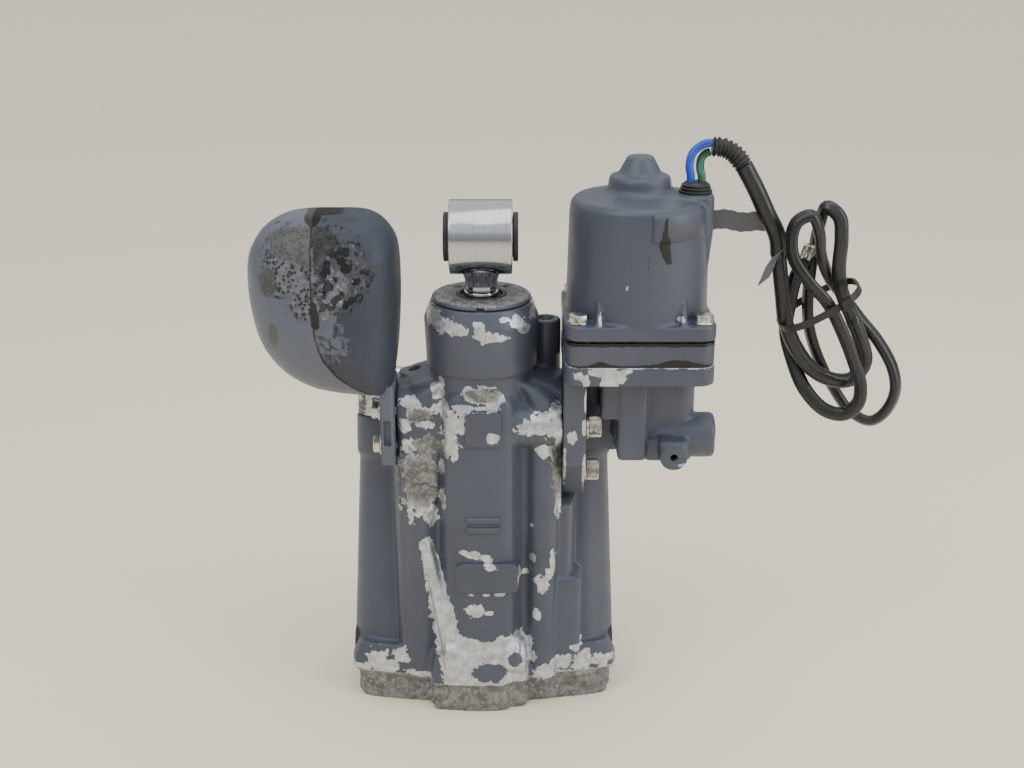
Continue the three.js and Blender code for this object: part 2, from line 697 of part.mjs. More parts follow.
function grommet() {
  const body = solid(at(turned([
    [0, 312], [6, 312], [6, 320.3], [9.6, 320.3], [9.6, 321.9], [8.6, 322.4], [9, 323.4], [8, 324], [8.2, 325],
    [7.2, 325.8], [6.4, 326.6], [0, 326.6],
  ], 16), 122.5, -4));
  add('lead_grommet', cut(body,
    solid(at(rod(2.8, 300, 340, 12), 119.4, -4)), solid(at(rod(2.8, 300, 340, 12), 125.6, -4))), RUBBER);
}

function leadWires() {
  add('lead_wire_blue', cable([
    [119.4, -4, 312], [119.4, -4, 322], [119.4, -4, 330], [118.5, -3.5, 336], [120.5, -2, 343], [127, 0, 347.4], [131.3, 0.5, 348],
  ], 2.4, 14, 4), BLUE);
  add('lead_wire_green', cable([
    [125.6, -4, 312], [125.6, -4, 322], [125.6, -4, 330], [124.8, -2, 334], [125.6, 1.2, 338.8],
    [128.2, 2.4, 341.6], [130.6, 2.7, 342.5],
  ], 2.4, 12, 4), GREEN);
}

function corrugatedTube() {
  const route = new THREE.CatmullRomCurve3([
    [132.2, 1.5, 345.6], [138, 2, 345], [144.5, 2, 341.4], [149.5, 2, 335.6],
  ].map((p) => new THREE.Vector3(...p)));
  const frames = 18;
  const sides = 14;
  const rings = [];
  for (let k = 0; k <= frames; k += 1) {
    const c = route.getPointAt(k / frames);
    const t = route.getTangentAt(k / frames);
    const up = new THREE.Vector3(0, 1, 0);
    const side = new THREE.Vector3().crossVectors(t, up).normalize();
    const r = k % 2 ? 5.1 : 5.9;
    const loop = [];
    for (let i = 0; i < sides; i += 1) {
      const a = (i / sides) * Math.PI * 2;
      loop.push(c.clone().addScaledVector(up, r * Math.cos(a)).addScaledVector(side, r * Math.sin(a)).toArray());
    }
    rings.push(loop);
  }
  add('lead_corrugated_tube', tubeSkin(rings), RUBBER);
}

// skin over a row of round rings with fan caps
function tubeSkin(rings) {
  const n = rings[0].length;
  const mid = (r) => [0, 1, 2].map((k) => r.reduce((s, p) => s + p[k], 0) / n);
  const positions = [...rings.flat(2), ...mid(rings[0]), ...mid(rings.at(-1))];
  const index = [];
  for (let k = 0; k + 1 < rings.length; k += 1) {
    for (let i = 0; i < n; i += 1) {
      const j = (i + 1) % n;
      index.push(k * n + i, k * n + j, (k + 1) * n + j, k * n + i, (k + 1) * n + j, (k + 1) * n + i);
    }
  }
  const a = rings.length * n;
  const last = (rings.length - 1) * n;
  for (let i = 0; i < n; i += 1) {
    const j = (i + 1) % n;
    index.push(a, j, i, a + 1, last + i, last + j);
  }
  const g = new THREE.BufferGeometry();
  g.setAttribute('position', new THREE.Float32BufferAttribute(positions, 3));
  g.setIndex(index);
  return g;
}

const HANK_ROUTE = [
  [150, 2, 335], [158, 2, 321], [165, 2, 307], [172, 2, 293], [174, 2, 278], [177, 2, 259], [180, 2, 242],
  [187, 2, 226], [198, 2, 212], [211, 3, 205], [223, 5, 205], [230, 6, 215], [226, 4, 230], [219, 3, 245],
  [212, 2, 260], [209, 1, 274], [209, 1, 293], [207, 2, 305], [200, 5, 310], [198, 10, 300], [196, 14, 278],
  [195, 15, 255], [197, 15, 235], [204, 15, 215], [215, 14, 195], [226, 11, 181], [237, 7, 177], [245, 6, 183],
  [250, 6, 196], [248, 8, 210], [239, 12, 226], [228, 16, 239], [216, 16, 254], [205, 8, 268], [197, -3, 284],
  [194, -8, 298], [189, -9, 308], [181, -9, 305], [178, -9, 296], [180, -10, 283], [189, -12, 270],
  [201, -12, 257], [210, -12, 241], [219, -12, 221], [224, -12, 207], [224, -9, 194], [217, -5, 186],
  [206, -3, 188], [194, 2, 200], [187, 11, 217], [183, 14, 233], [184, 14, 249], [186, 12, 265], [190, 9, 278],
];

function hank() {
  add('lead_cable', cable(HANK_ROUTE, CABLE_R, 110, 3), RUBBER);
  add('lead_terminal_one', cable([[190.3, 8.8, 280], [192, 7, 290]], 2.6, 2, 3), STEEL);
  add('lead_strap', solid(block(133, 170, 9.5, 11, 294, 306)), RUBBER);
  const tie = ring(30, 31.5, -2.2, 2.2, 24);
  tie.scale(1, 0.9, 1);
  tie.rotateY(-0.5);
  add('lead_zip_tie', at(tie, 198, 2, 252), RUBBER);
}

cylinderHousing();
tiltCap();
tiltRod();
tiltPiston();
trimCylinder('left', -1);
trimCylinder('right', 1);
lowerBushes();
tank();
motorHousing();
motorInside();
midPlate();
motorBolts();
pumpBody();
pumpGears();
pumpValves();
pumpScrews();
grommet();
leadWires();
corrugatedTube();
hank();

export default unit;
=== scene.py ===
"""Power trim and tilt unit of an outboard motor: its finished look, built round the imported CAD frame."""

import json
import math

import bmesh
import bpy
import numpy as np
from mathutils import Euler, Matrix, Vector, noise


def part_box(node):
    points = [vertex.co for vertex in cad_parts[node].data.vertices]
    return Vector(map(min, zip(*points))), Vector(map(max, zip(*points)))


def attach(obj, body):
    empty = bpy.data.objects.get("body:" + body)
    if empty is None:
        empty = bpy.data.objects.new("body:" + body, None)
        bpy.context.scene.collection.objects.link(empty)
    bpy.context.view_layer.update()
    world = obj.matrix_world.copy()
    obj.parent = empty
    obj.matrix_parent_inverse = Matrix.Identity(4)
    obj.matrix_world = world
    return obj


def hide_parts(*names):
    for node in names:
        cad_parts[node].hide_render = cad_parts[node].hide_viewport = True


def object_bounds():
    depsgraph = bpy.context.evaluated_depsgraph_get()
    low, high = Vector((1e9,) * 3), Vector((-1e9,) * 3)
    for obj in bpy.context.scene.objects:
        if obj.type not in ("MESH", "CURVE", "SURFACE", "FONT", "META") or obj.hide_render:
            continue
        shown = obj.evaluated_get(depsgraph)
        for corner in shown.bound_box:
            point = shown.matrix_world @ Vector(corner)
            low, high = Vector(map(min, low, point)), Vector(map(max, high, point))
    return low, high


MM = 0.001
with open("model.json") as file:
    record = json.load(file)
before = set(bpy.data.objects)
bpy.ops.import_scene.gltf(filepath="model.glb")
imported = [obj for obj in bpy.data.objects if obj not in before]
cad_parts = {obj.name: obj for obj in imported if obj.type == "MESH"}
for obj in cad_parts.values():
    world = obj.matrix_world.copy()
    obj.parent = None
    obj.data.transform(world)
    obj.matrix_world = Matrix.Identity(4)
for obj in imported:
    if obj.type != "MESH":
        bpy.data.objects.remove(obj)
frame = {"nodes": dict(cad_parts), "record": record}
cad_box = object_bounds()


# ---------- places shared with the CAD, in millimetres ----------


def corners(node):
    low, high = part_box(node)
    return np.array(low) / MM, np.array(high) / MM


EYE_LOW, EYE_HIGH = corners("rod_eye")
EYE_R = (EYE_HIGH[1] - EYE_LOW[1]) / 2
EYE_W = EYE_HIGH[0] - EYE_LOW[0]
EYE_Z = EYE_HIGH[2] - EYE_R
CAP_TOP = corners("tilt_cap")[1][2]
MOTOR_LOW, MOTOR_HIGH = corners("motor_housing")
MOTOR_X = (MOTOR_LOW[0] + MOTOR_HIGH[0]) / 2
MOTOR_TOP = MOTOR_HIGH[2]
FLANGE_HALF = (MOTOR_HIGH[0] - MOTOR_LOW[0]) / 2
MID_LOW, MID_HIGH = corners("motor_mid_plate")
PUMP_LOW, PUMP_HIGH = corners("pump_body")
FACE_X = PUMP_LOW[0] - 0.3
WING_X = -50.3
BOLT_PITCH = 35.5
BOLT_Y = 33
TRIM_X, TRIM_Y, TRIM_Z = 55.5, 18, 60
TRIM_LEAN = math.radians(12)
MOUNT_Y, MOUNT_Z = 4, 27
ROD_R = 10


# ---------- camera, floor and light ----------

AIM = Vector((0.018, 0, 0.2033))
CAMERA_DOWN = math.radians(19.5)
CAMERA_DISTANCE = 0.84


def camera():
    data = bpy.data.cameras.new("camera")
    data.sensor_width = 36
    data.lens = 49.2
    eye = bpy.data.objects.new("camera", data)
    back = Vector((0, -math.cos(CAMERA_DOWN), math.sin(CAMERA_DOWN)))
    eye.location = AIM + back * CAMERA_DISTANCE
    eye.rotation_euler = (math.pi / 2 - CAMERA_DOWN, 0, 0)
    bpy.context.scene.collection.objects.link(eye)
    bpy.context.scene.camera = eye


def area_light(name, place, size, power, colour):
    data = bpy.data.lights.new(name, "AREA")
    data.shape = "RECTANGLE"
    data.size, data.size_y = size
    data.energy = power
    data.color = colour
    lamp = bpy.data.objects.new(name, data)
    lamp.location = place
    lamp.rotation_euler = (AIM - Vector(place)).to_track_quat("-Z", "Y").to_euler()
    bpy.context.scene.collection.objects.link(lamp)


def studio():
    world = bpy.data.worlds.new("studio")
    bpy.context.scene.world = world
    world.use_nodes = True
    background = world.node_tree.nodes["Background"]
    background.inputs[1].default_value = 1.0
    sky = Graph(world.node_tree, "Generated")
    height = sky.axis("Z")
    low = sky.mix(sky.ramp(height, 0.05, 0.3), (0.36, 0.38, 0.43), (0.55, 0.56, 0.58))
    sky.link(sky.mix(sky.ramp(height, 0.34, 0.46), low, (1.06, 1.05, 1.03)), background.inputs[0])
    area_light("key", (-0.9, -0.9, 1.5), (0.9, 0.9), 7, (1, 0.99, 0.97))
    area_light("top", (0.2, -0.2, 1.5), (1.4, 0.9), 6, (1, 1, 1))
    area_light("side", (1.3, -0.6, 0.7), (0.7, 1.1), 9, (0.97, 0.98, 1))


def floor():
    size = 9
    sheet = mesh_object("floor", [(-size, -size, 0), (size, -size, 0), (size, size, 0), (-size, size, 0)],
                        [(0, 1, 2, 3)], unit=1)
    sheet.data.materials.append(plain("floor", (0.93, 0.85, 0.69), 0.6))


# ---------- mesh tools, in millimetres ----------


def mesh_object(name, points, faces, unit=MM):
    mesh = bpy.data.meshes.new(name)
    mesh.from_pydata([tuple(c * unit for c in p) for p in points], [], faces)
    mesh.validate()
    piece = bpy.data.objects.new(name, mesh)
    bpy.context.scene.collection.objects.link(piece)
    return piece


def placed(shape, turn=(0, 0, 0), move=(0, 0, 0)):
    """A (points, faces) shape turned by Euler angles and then moved."""
    points, faces = shape
    matrix = Euler(turn).to_matrix()
    return [tuple(matrix @ Vector(p) + Vector(move)) for p in points], faces


def joined(*shapes):
    points, faces = [], []
    for more, rings in shapes:
        start = len(points)
        points += list(more)
        faces += [tuple(i + start for i in f) for f in rings]
    return points, faces


def softened(profile, radius, steps=3):
    """A turned profile with its corners rounded."""
    out = [profile[0]]
    for before, here, after in zip(profile, profile[1:], profile[2:]):
        a, b, c = Vector(before), Vector(here), Vector(after)
        r = min(radius, (a - b).length * 0.45, (c - b).length * 0.45)
        start, end = b + (a - b).normalized() * r, b + (c - b).normalized() * r
        for k in range(steps + 1):
            t = k / steps
            out.append(tuple((1 - t) ** 2 * start + 2 * t * (1 - t) * b + t ** 2 * end))
    out.append(profile[-1])
    return out


def turned(profile, segments=96, radius=0.4):
    """A closed body turned about +Z from (radius, z) pairs that start and end on the axis, or meet."""
    loop = profile[0] == profile[-1]
    rows = softened(profile, radius)
    if loop:
        rows = softened(list(profile) + [profile[1]], radius)[1:]
        rows = rows[:-1]
    points, faces, index = [], [], []
    for r, z in rows:
        if r < 1e-6:
            index.append([len(points)] * segments)
            points.append((0, 0, z))
        else:
            index.append(list(range(len(points), len(points) + segments)))
            points += [(r * math.cos(a), r * math.sin(a), z)
                       for a in (math.tau * i / segments for i in range(segments))]
    pairs = list(zip(index, index[1:] + index[:1])) if loop else list(zip(index, index[1:]))
    for low, high in pairs:
        for i in range(segments):
            j = (i + 1) % segments
            face = []
            for k in (low[i], low[j], high[j], high[i]):
                if k not in face:
                    face.append(k)
            if len(face) > 2:
                faces.append(tuple(face))
    return points, faces


def loft(rings):
    """A closed body over a stack of rings with equal point counts."""
    n = len(rings[0])
    points = [tuple(p) for ring in rings for p in ring]
    faces = [(k * n + i, k * n + (i + 1) % n, (k + 1) * n + (i + 1) % n, (k + 1) * n + i)
             for k in range(len(rings) - 1) for i in range(n)]
    faces.append(tuple(reversed(range(n))))
    faces.append(tuple(range((len(rings) - 1) * n, len(rings) * n)))
    return points, faces


def smooth_ring(points, steps=5):
    """A closed outline made denser along a smooth curve through its points."""
    n = len(points)
    out = []
    for i in range(n):
        a, b, c, d = (np.array(points[(i + k) % n], float) for k in (-1, 0, 1, 2))
        for k in range(steps):
            t = k / steps
            out.append(tuple(0.5 * (2 * b + (c - a) * t + (2 * a - 5 * b + 4 * c - d) * t ** 2
                                    + (3 * b - a - 3 * c + d) * t ** 3)))
    return out


def round_outline(x0, x1, y0, y1, r, steps=6):
    out = []
    for cx, cy, start in ((x1 - r, y0 + r, -90), (x1 - r, y1 - r, 0), (x0 + r, y1 - r, 90), (x0 + r, y0 + r, 180)):
        for k in range(steps + 1):
            a = math.radians(start + 90 * k / steps)
            out.append((cx + r * math.cos(a), cy + r * math.sin(a)))
    return out


def slab(x0, x1, y0, y1, r, z0, z1, edge=0.6):
    """An upright rounded block with its top and bottom edges broken."""
    rings = []
    for inset, z in ((edge, z0), (edge * 0.3, z0 + edge * 0.3), (0, z0 + edge),
                     (0, z1 - edge), (edge * 0.3, z1 - edge * 0.3), (edge, z1)):
        outline = round_outline(x0 + inset, x1 - inset, y0 + inset, y1 - inset, max(r - inset, 0.2))
        rings.append([(x, y, z) for x, y in outline])
    return loft(rings)


def front_slab(x0, x1, z0, z1, r, near, far, edge=0.6):
    """A rounded block seen from the front, from near to far millimetres in front of the cylinder's axis."""
    return placed(slab(x0, x1, z0, z1, r, near, far, edge), (math.pi / 2, 0, 0))


def bar_x(r, x0, x1, y, z, edge=0.5, segments=64):
    return placed(turned([(0, x0), (r, x0), (r, x1), (0, x1)], segments, edge), (0, math.pi / 2, 0), (0, y, z))


def bar_y(r, y0, y1, x, z, edge=0.5, segments=48):
    return placed(turned([(0, y0), (r, y0), (r, y1), (0, y1)], segments, edge), (-math.pi / 2, 0, 0), (x, 0, z))


def bar_z(r, z0, z1, x, y, edge=0.5, segments=64):
    return placed(turned([(0, z0), (r, z0), (r, z1), (0, z1)], segments, edge), move=(x, y, 0))


def leaned(shape, side):
    return placed(shape, (-TRIM_LEAN, 0, 0), (side * TRIM_X, TRIM_Y, TRIM_Z))


def apply_modifiers(piece):
    bpy.context.view_layer.update()
    mesh = bpy.data.meshes.new_from_object(piece.evaluated_get(bpy.context.evaluated_depsgraph_get()))
    piece.modifiers.clear()
    old = piece.data
    piece.data = mesh
    bpy.data.meshes.remove(old)


def cast(name, shapes, voxel=1.0, smooth=8, factor=0.5):
    """Shapes melted into one casting with small fillets where they meet."""
    piece = mesh_object(name, *joined(*shapes))
    remesh = piece.modifiers.new("melt", "REMESH")
    remesh.mode = "VOXEL"
    remesh.voxel_size = voxel * MM
    soften = piece.modifiers.new("soften", "SMOOTH")
    soften.factor = factor
    soften.iterations = smooth
    apply_modifiers(piece)
    return piece


def boolean(piece, shape, kind, solver="EXACT"):
    tool = mesh_object("tool", *shape)
    cut = piece.modifiers.new("cut", "BOOLEAN")
    cut.operation = kind
    cut.solver = solver
    cut.object = tool
    apply_modifiers(piece)
    bpy.data.objects.remove(tool)
    return piece


def carve(piece, *shapes):
    """Cuts closed shapes out of a closed piece."""
    return boolean(piece, joined(*shapes), "DIFFERENCE", "MANIFOLD")


def roughen(piece, amount, weight, scale=120):
    """Moves vertices along their normals by noise, where weight(x, y, z) in millimetres is not zero."""
    mesh = piece.data
    for v in mesh.vertices:
        w = weight(*(v.co / MM))
        if w > 0:
            n = noise.fractal(v.co * scale, 0.8, 2.1, 4)
            v.co += v.normal * (n * amount * w * MM)


def set_field(piece, name, value):
    """Stores value(x, y, z) arrays in millimetres as a point attribute for a material to read."""
    mesh = piece.data
    co = np.empty(len(mesh.vertices) * 3)
    mesh.vertices.foreach_get("co", co)
    x, y, z = co.reshape(-1, 3).T / MM
    field = mesh.attributes.new(name, "FLOAT", "POINT")
    field.data.foreach_set("value", np.clip(value(x, y, z), -1, 1).astype(np.float32))


def level(value):
    """The same field value all over a piece."""
    return lambda x, y, z: np.full(x.shape, value)


def patches(spots, keep=1e9):
    """A field that is 1 at each spot's centre and falls to 0 at its edge: (x, z, rx, rz, y limit)."""
    def value(x, y, z):
        best = np.full(x.shape, -1.0)
        for cx, cz, rx, rz, *front in spots:
            limit = front[0] if front else keep
            d = 1 - np.hypot((x - cx) / rx, (z - cz) / rz)
            best = np.maximum(best, np.where(y < limit, d, -1.0))
        return best
    return value


def finish_piece(piece, material, body="unit", replaces=(), smooth=True):
    piece.data.materials.clear()
    piece.data.materials.append(material)
    if smooth:
        piece.data.shade_smooth()
    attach(piece, body)
    if replaces:
        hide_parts(*replaces)
    return piece


# ---------- materials ----------


def material(name):
    m = bpy.data.materials.new(name)
    m.use_nodes = True
    return m, m.node_tree, m.node_tree.nodes["Principled BSDF"]


def plain(name, colour, roughness):
    m, _, shader = material(name)
    shader.inputs["Base Color"].default_value = (*colour, 1)
    shader.inputs["Roughness"].default_value = roughness
    return m


class Graph:
    """Short names for the nodes that the materials are wired from."""

    def __init__(self, tree, place="Object"):
        self.tree = tree
        self.place = tree.nodes.new("ShaderNodeTexCoord").outputs[place]

    def link(self, a, b):
        self.tree.links.new(a, b)

    def put(self, socket, value):
        if isinstance(value, bpy.types.NodeSocket):
            self.link(value, socket)
        else:
            socket.default_value = value

    def noise(self, scale, detail=4, roughness=0.6, stretch=None, distortion=0.0):
        node = self.tree.nodes.new("ShaderNodeTexNoise")
        node.inputs["Scale"].default_value = scale
        node.inputs["Detail"].default_value = detail
        node.inputs["Roughness"].default_value = roughness
        node.inputs["Distortion"].default_value = distortion
        where = self.place
        if stretch:
            squeeze = self.tree.nodes.new("ShaderNodeVectorMath")
            squeeze.operation = "MULTIPLY"
            squeeze.inputs[1].default_value = stretch
            self.link(where, squeeze.inputs[0])
            where = squeeze.outputs[0]
        self.link(where, node.inputs["Vector"])
        return node.outputs["Fac"]

    def axis(self, name):
        node = self.tree.nodes.new("ShaderNodeSeparateXYZ")
        self.link(self.place, node.inputs[0])
        return node.outputs[name]

    def blend(self, amount, a, b):
        node = self.tree.nodes.new("ShaderNodeMix")
        self.put(node.inputs[0], amount)
        self.put(node.inputs[2], a)
        self.put(node.inputs[3], b)
        return node.outputs[0]

    def cells(self, scale):
        node = self.tree.nodes.new("ShaderNodeTexVoronoi")
        node.inputs["Scale"].default_value = scale
        self.link(self.place, node.inputs["Vector"])
        return node.outputs["Distance"]

    def math(self, kind, a, b=0.0):
        node = self.tree.nodes.new("ShaderNodeMath")
        node.operation = kind
        self.put(node.inputs[0], a)
        self.put(node.inputs[1], b)
        return node.outputs[0]

    def ramp(self, value, low, high, start=0.0, end=1.0, smooth=True):
        node = self.tree.nodes.new("ShaderNodeMapRange")
        if smooth:
            node.interpolation_type = "SMOOTHSTEP"
        self.put(node.inputs[0], value)
        for k, v in zip((1, 2, 3, 4), (low, high, start, end)):
            node.inputs[k].default_value = v
        return node.outputs[0]

    def mix(self, amount, a, b):
        node = self.tree.nodes.new("ShaderNodeMix")
        node.data_type = "RGBA"
        self.put(node.inputs[0], amount)
        for socket, value in ((node.inputs[6], a), (node.inputs[7], b)):
            self.put(socket, (*value, 1) if isinstance(value, tuple) else value)
        return node.outputs[2]

    def field(self, name):
        node = self.tree.nodes.new("ShaderNodeAttribute")
        node.attribute_name = name
        return node.outputs["Fac"]

    def bump(self, height, distance, strength=1.0, normal=None):
        node = self.tree.nodes.new("ShaderNodeBump")
        node.inputs["Distance"].default_value = distance
        node.inputs["Strength"].default_value = strength
        self.link(height, node.inputs["Height"])
        if normal:
            self.link(normal, node.inputs["Normal"])
        return node.outputs["Normal"]


PAINT_DARK = (0.052, 0.062, 0.088)
PAINT_LIGHT = (0.069, 0.081, 0.112)


def chipped_paint(name):
    """Grey sprayed paint that has flaked off wherever the wear field and its noise add up."""
    m, tree, shader = material(name)
    g = Graph(tree)
    ragged = g.noise(190, 8, 0.62, distortion=0.5)
    flakes = g.noise(520, 4, 0.6)
    edge = g.math("ADD", g.field("wear"), g.math("MULTIPLY", g.math("SUBTRACT", ragged, 0.5), 2.3))
    edge = g.math("ADD", edge, g.math("MULTIPLY", g.math("SUBTRACT", flakes, 0.5), 0.35))
    bare = g.ramp(edge, 0.0, 0.05)
    oxide = g.ramp(g.math("ADD", g.field("oxide"), g.math("MULTIPLY", g.math("SUBTRACT", ragged, 0.5), 1.2)),
                   -0.05, 0.25)
    paint = g.mix(g.ramp(g.noise(14, 5, 0.6), 0.3, 0.7), PAINT_DARK, PAINT_LIGHT)
    paint = g.mix(g.ramp(g.noise(900, 2, 0.5), 0.62, 0.8, 0, 0.25), paint, (0.16, 0.17, 0.19))
    bright = g.mix(g.ramp(g.noise(230, 6, 0.7), 0.35, 0.62), (0.68, 0.70, 0.73), (0.44, 0.45, 0.47))
    crust = g.mix(g.ramp(g.noise(170, 8, 0.72), 0.36, 0.6), (0.28, 0.275, 0.268), (0.13, 0.128, 0.124))
    crust = g.mix(g.ramp(g.noise(420, 6, 0.7), 0.52, 0.66, 0, 0.8), crust, (0.42, 0.41, 0.40))
    crust = g.mix(g.ramp(g.cells(260), 0.0, 0.2, 0.75, 0), crust, (0.03, 0.03, 0.03))
    metal = g.mix(oxide, bright, crust)
    g.link(g.mix(bare, paint, metal), shader.inputs["Base Color"])
    shine = g.math("MULTIPLY", bare, g.ramp(oxide, 0, 1, 0.75, 0.25))
    g.link(shine, shader.inputs["Metallic"])
    rough_paint = g.ramp(g.noise(60, 6, 0.6), 0.3, 0.7, 0.36, 0.5)
    rough_metal = g.ramp(g.noise(300, 4, 0.6), 0.3, 0.7, 0.3, 0.55)
    rough_metal = g.math("ADD", rough_metal, g.math("MULTIPLY", oxide, 0.3))
    g.link(g.blend(bare, rough_paint, rough_metal), shader.inputs["Roughness"])
    step = g.ramp(edge, -0.03, 0.06, 1, 0)
    normal = g.bump(step, 0.0006, 1.0)
    grain = g.noise(700, 3, 0.6)
    normal = g.bump(grain, 0.00006, 0.35, normal)
    pits = g.math("MULTIPLY", g.noise(240, 8, 0.75), g.math("MULTIPLY", bare, g.ramp(oxide, 0, 1, 0.1, 1)))
    normal = g.bump(pits, 0.0011, 0.8, normal)
    g.link(normal, shader.inputs["Normal"])
    return m


def machined(name, colour, roughness, stretch=(1, 1, 1), scale=500, dirt=(0.12, 0.12, 0.13), dirt_at=0.66,
             depth=0.00008):
    """Turned or drawn metal with fine tool lines and a little grime."""
    m, tree, shader = material(name)
    g = Graph(tree)
    lines = g.noise(scale, 3, 0.6, stretch=stretch)
    grime = g.ramp(g.noise(90, 7, 0.7), dirt_at, dirt_at + 0.12)
    tone = g.mix(g.ramp(lines, 0.3, 0.7), colour, tuple(c * 0.86 for c in colour))
    g.link(g.mix(grime, tone, dirt), shader.inputs["Base Color"])
    shader.inputs["Metallic"].default_value = 1.0
    g.link(g.math("ADD", g.ramp(lines, 0.25, 0.75, roughness * 0.75, roughness * 1.3),
                  g.math("MULTIPLY", grime, 0.25)), shader.inputs["Roughness"])
    g.link(g.bump(lines, depth, 0.5), shader.inputs["Normal"])
    return m


def moulded(name, colour, roughness, grain=600, depth=0.00008, dust=(0.2, 0.2, 0.2), dusty=0.7):
    """Rubber, tape or plastic with a fine skin and a little dust."""
    m, tree, shader = material(name)
    g = Graph(tree)
    skin = g.noise(grain, 4, 0.6)
    dusting = g.ramp(g.noise(60, 7, 0.7), dusty, dusty + 0.2, 0, 0.6)
    tone = g.mix(g.ramp(g.noise(40, 4, 0.6), 0.3, 0.7), colour, tuple(min(1, c * 1.5 + 0.004) for c in colour))
    g.link(g.mix(dusting, tone, dust), shader.inputs["Base Color"])
    g.link(g.ramp(g.noise(110, 5, 0.65), 0.3, 0.7, roughness - 0.1, roughness + 0.12), shader.inputs["Roughness"])
    g.link(g.bump(skin, depth, 0.6), shader.inputs["Normal"])
    return m


# ---------- casting ----------


def web_section(z):
    """Plan of the front web between the trim barrels at height z."""
    f = (190 - z) * 0.03
    low = min(1, max(0, (100 - z) / 70))
    left_rib = 1.6 * min(1, max(0, (z - 60) / 60))
    return [
        (-52, -14 - f), (-47, -19.5 - f), (-41, -23 - f), (-35, -23.5 - f - 0.6 * left_rib), (-30, -21 - f),
        (-26, -19.5 - f - 2 * low), (-23.5, -24 - f), (-20, -29 - f), (-12, -32.4 - f), (0, -33 - f),
        (11, -32.4 - f), (17.5, -30 - f), (21, -24 - f), (24, -20.5 - f), (27.5, -20.5 - f), (31, -24.5 - f),
        (36, -26.5 - f), (41, -25.6 - f), (44.5, -22 - f), (46.5, -18 - f), (54, -14 - f),
        (57, 10), (54, 28), (30, 32), (0, 34), (-30, 32), (-53, 28), (-56, 10),
    ]


def web_ring(z, kx=1.0, ky=1.0):
    return [(x * kx, y * ky, z) for x, y in smooth_ring(web_section(z), 4)]


BASE_PLAN = [
    (-80, -12), (-78, -18), (-72, -20.5), (-50, -24), (-34, -26.5), (-31, -30), (-30, -36), (-16, -38), (0, -38.5),
    (12, -38), (16, -36), (18, -33.5), (25, -33), (27.5, -30), (29, -26), (50, -22), (72, -18), (79, -15),
    (81, -8), (80, 22), (70, 34), (-70, 34), (-80, 22),
]


def base_ring(z, scale, drop=0.0):
    return [(x * scale, y * scale + drop, z) for x, y in BASE_PLAN]


def capsule(start, end, r0, r1, steps=10):
    """A round-ended bar between two points, thinner at one end."""
    a, b = Vector(start), Vector(end)
    axis = (b - a).normalized()
    side = axis.cross(Vector((0, 1, 0))).normalized()
    other = axis.cross(side)
    length = (b - a).length
    rows = [(-r0 * math.cos(t), r0 * math.sin(t)) for t in np.linspace(0.15, math.pi / 2, 4)]
    rows += [(length * t, r0 + (r1 - r0) * t) for t in np.linspace(0, 1, 6)[1:-1]]
    rows += [(length + r1 * math.sin(t), r1 * math.cos(t)) for t in np.linspace(0, math.pi / 2 - 0.15, 4)]
    rings = []
    for along, r in rows:
        c = a + axis * along
        rings.append([tuple(c + (side * math.cos(u) + other * math.sin(u)) * r)
                      for u in (math.tau * k / steps for k in range(steps))])
    return loft(rings)


def trim_barrel(side):
    steps = [(16, 5, 27.6), (40, 10.9, 26.9), (80, 20.8, 25.6), (120, 30.8, 24.3), (150, 37.2, 23.2)]
    lower = loft([[(side * TRIM_X + r * math.cos(a), y + r * math.sin(a), z)
                   for a in (math.tau * k / 72 for k in range(72))] for z, y, r in steps])
    collar = leaned(turned([(0, 80), (23.4, 80), (23.4, 86), (25, 88), (25, 112), (0, 112)], 72, 0.8), side)
    return joined(lower, collar)


def casting_shapes():
    head = turned([(0, 20), (31, 20), (31, 215.6), (32.9, 217.6), (33.9, 246), (33.1, 250), (29.9, 256.6), (0, 257)],
                  128, 1.2)
    web = loft([web_ring(z) for z in np.linspace(16, 199, 24)])
    shoulder = loft([web_ring(198), web_ring(203, 0.93, 0.97), web_ring(208, 0.78, 0.92), web_ring(213, 0.5, 0.85)])
    base = loft([base_ring(0, 0.972), base_ring(3.5, 0.99), base_ring(17, 0.985)])
    skirt = loft([base_ring(17.5, 1.0), base_ring(19.5, 1.035), base_ring(28, 1.03), base_ring(38, 0.97)])
    boss = [
        bar_x(11.5, -22.5, 26.5, -27, 34.5, 1.5),
        bar_x(13, -23.5, -11, -27.5, 36, 2.5),
        bar_x(13, 13, 23, -27.5, 36.5, 2.5),
    ]
    streak = capsule((-34, -24.5, 108), (-19, -29, 40), 3.2, 6.5)
    left = [
        bar_x(12.5, WING_X, -6, -12, 194, 1.5),
        slab(WING_X, -14, -24.5, 14, 5, 164, 196, 1),
        front_slab(-47.5, -26, 140, 169, 3, 0, 26.5, 1),
        loft([[(x, y, z) for x, y in round_outline(*b, 3)] for *b, z in
              ((-42, -31, -22.5, 0, 122), (-45, -28, -25, 0, 133), (-47, -26.5, -25.8, 0, 141))]),
        bar_z(10, 150, 208, -41, 13, 0.8),
    ]
    right = [
        bar_x(13.5, 4, FACE_X, -17, 184, 1.5),
        slab(10, FACE_X, -21, 10, 3, 148, 186, 1),
        bar_x(11.5, 10, FACE_X, 0, 148, 1),
        bar_z(9, 120, 239, 38.5, 20, 1.0),
    ]
    panel = loft([[(x, y, z) for x, y in round_outline(*b, 2)] for *b, z in
                  ((30, 60, -27.5, 0, 30), (33, 60, -25.5, 0, 60), (44, 60, -23.6, 0, 84), (50, 57, -21, 0, 86))])
    return [head, web, shoulder, base, skirt, streak, panel, trim_barrel(-1), trim_barrel(1), *boss, *left, *right]


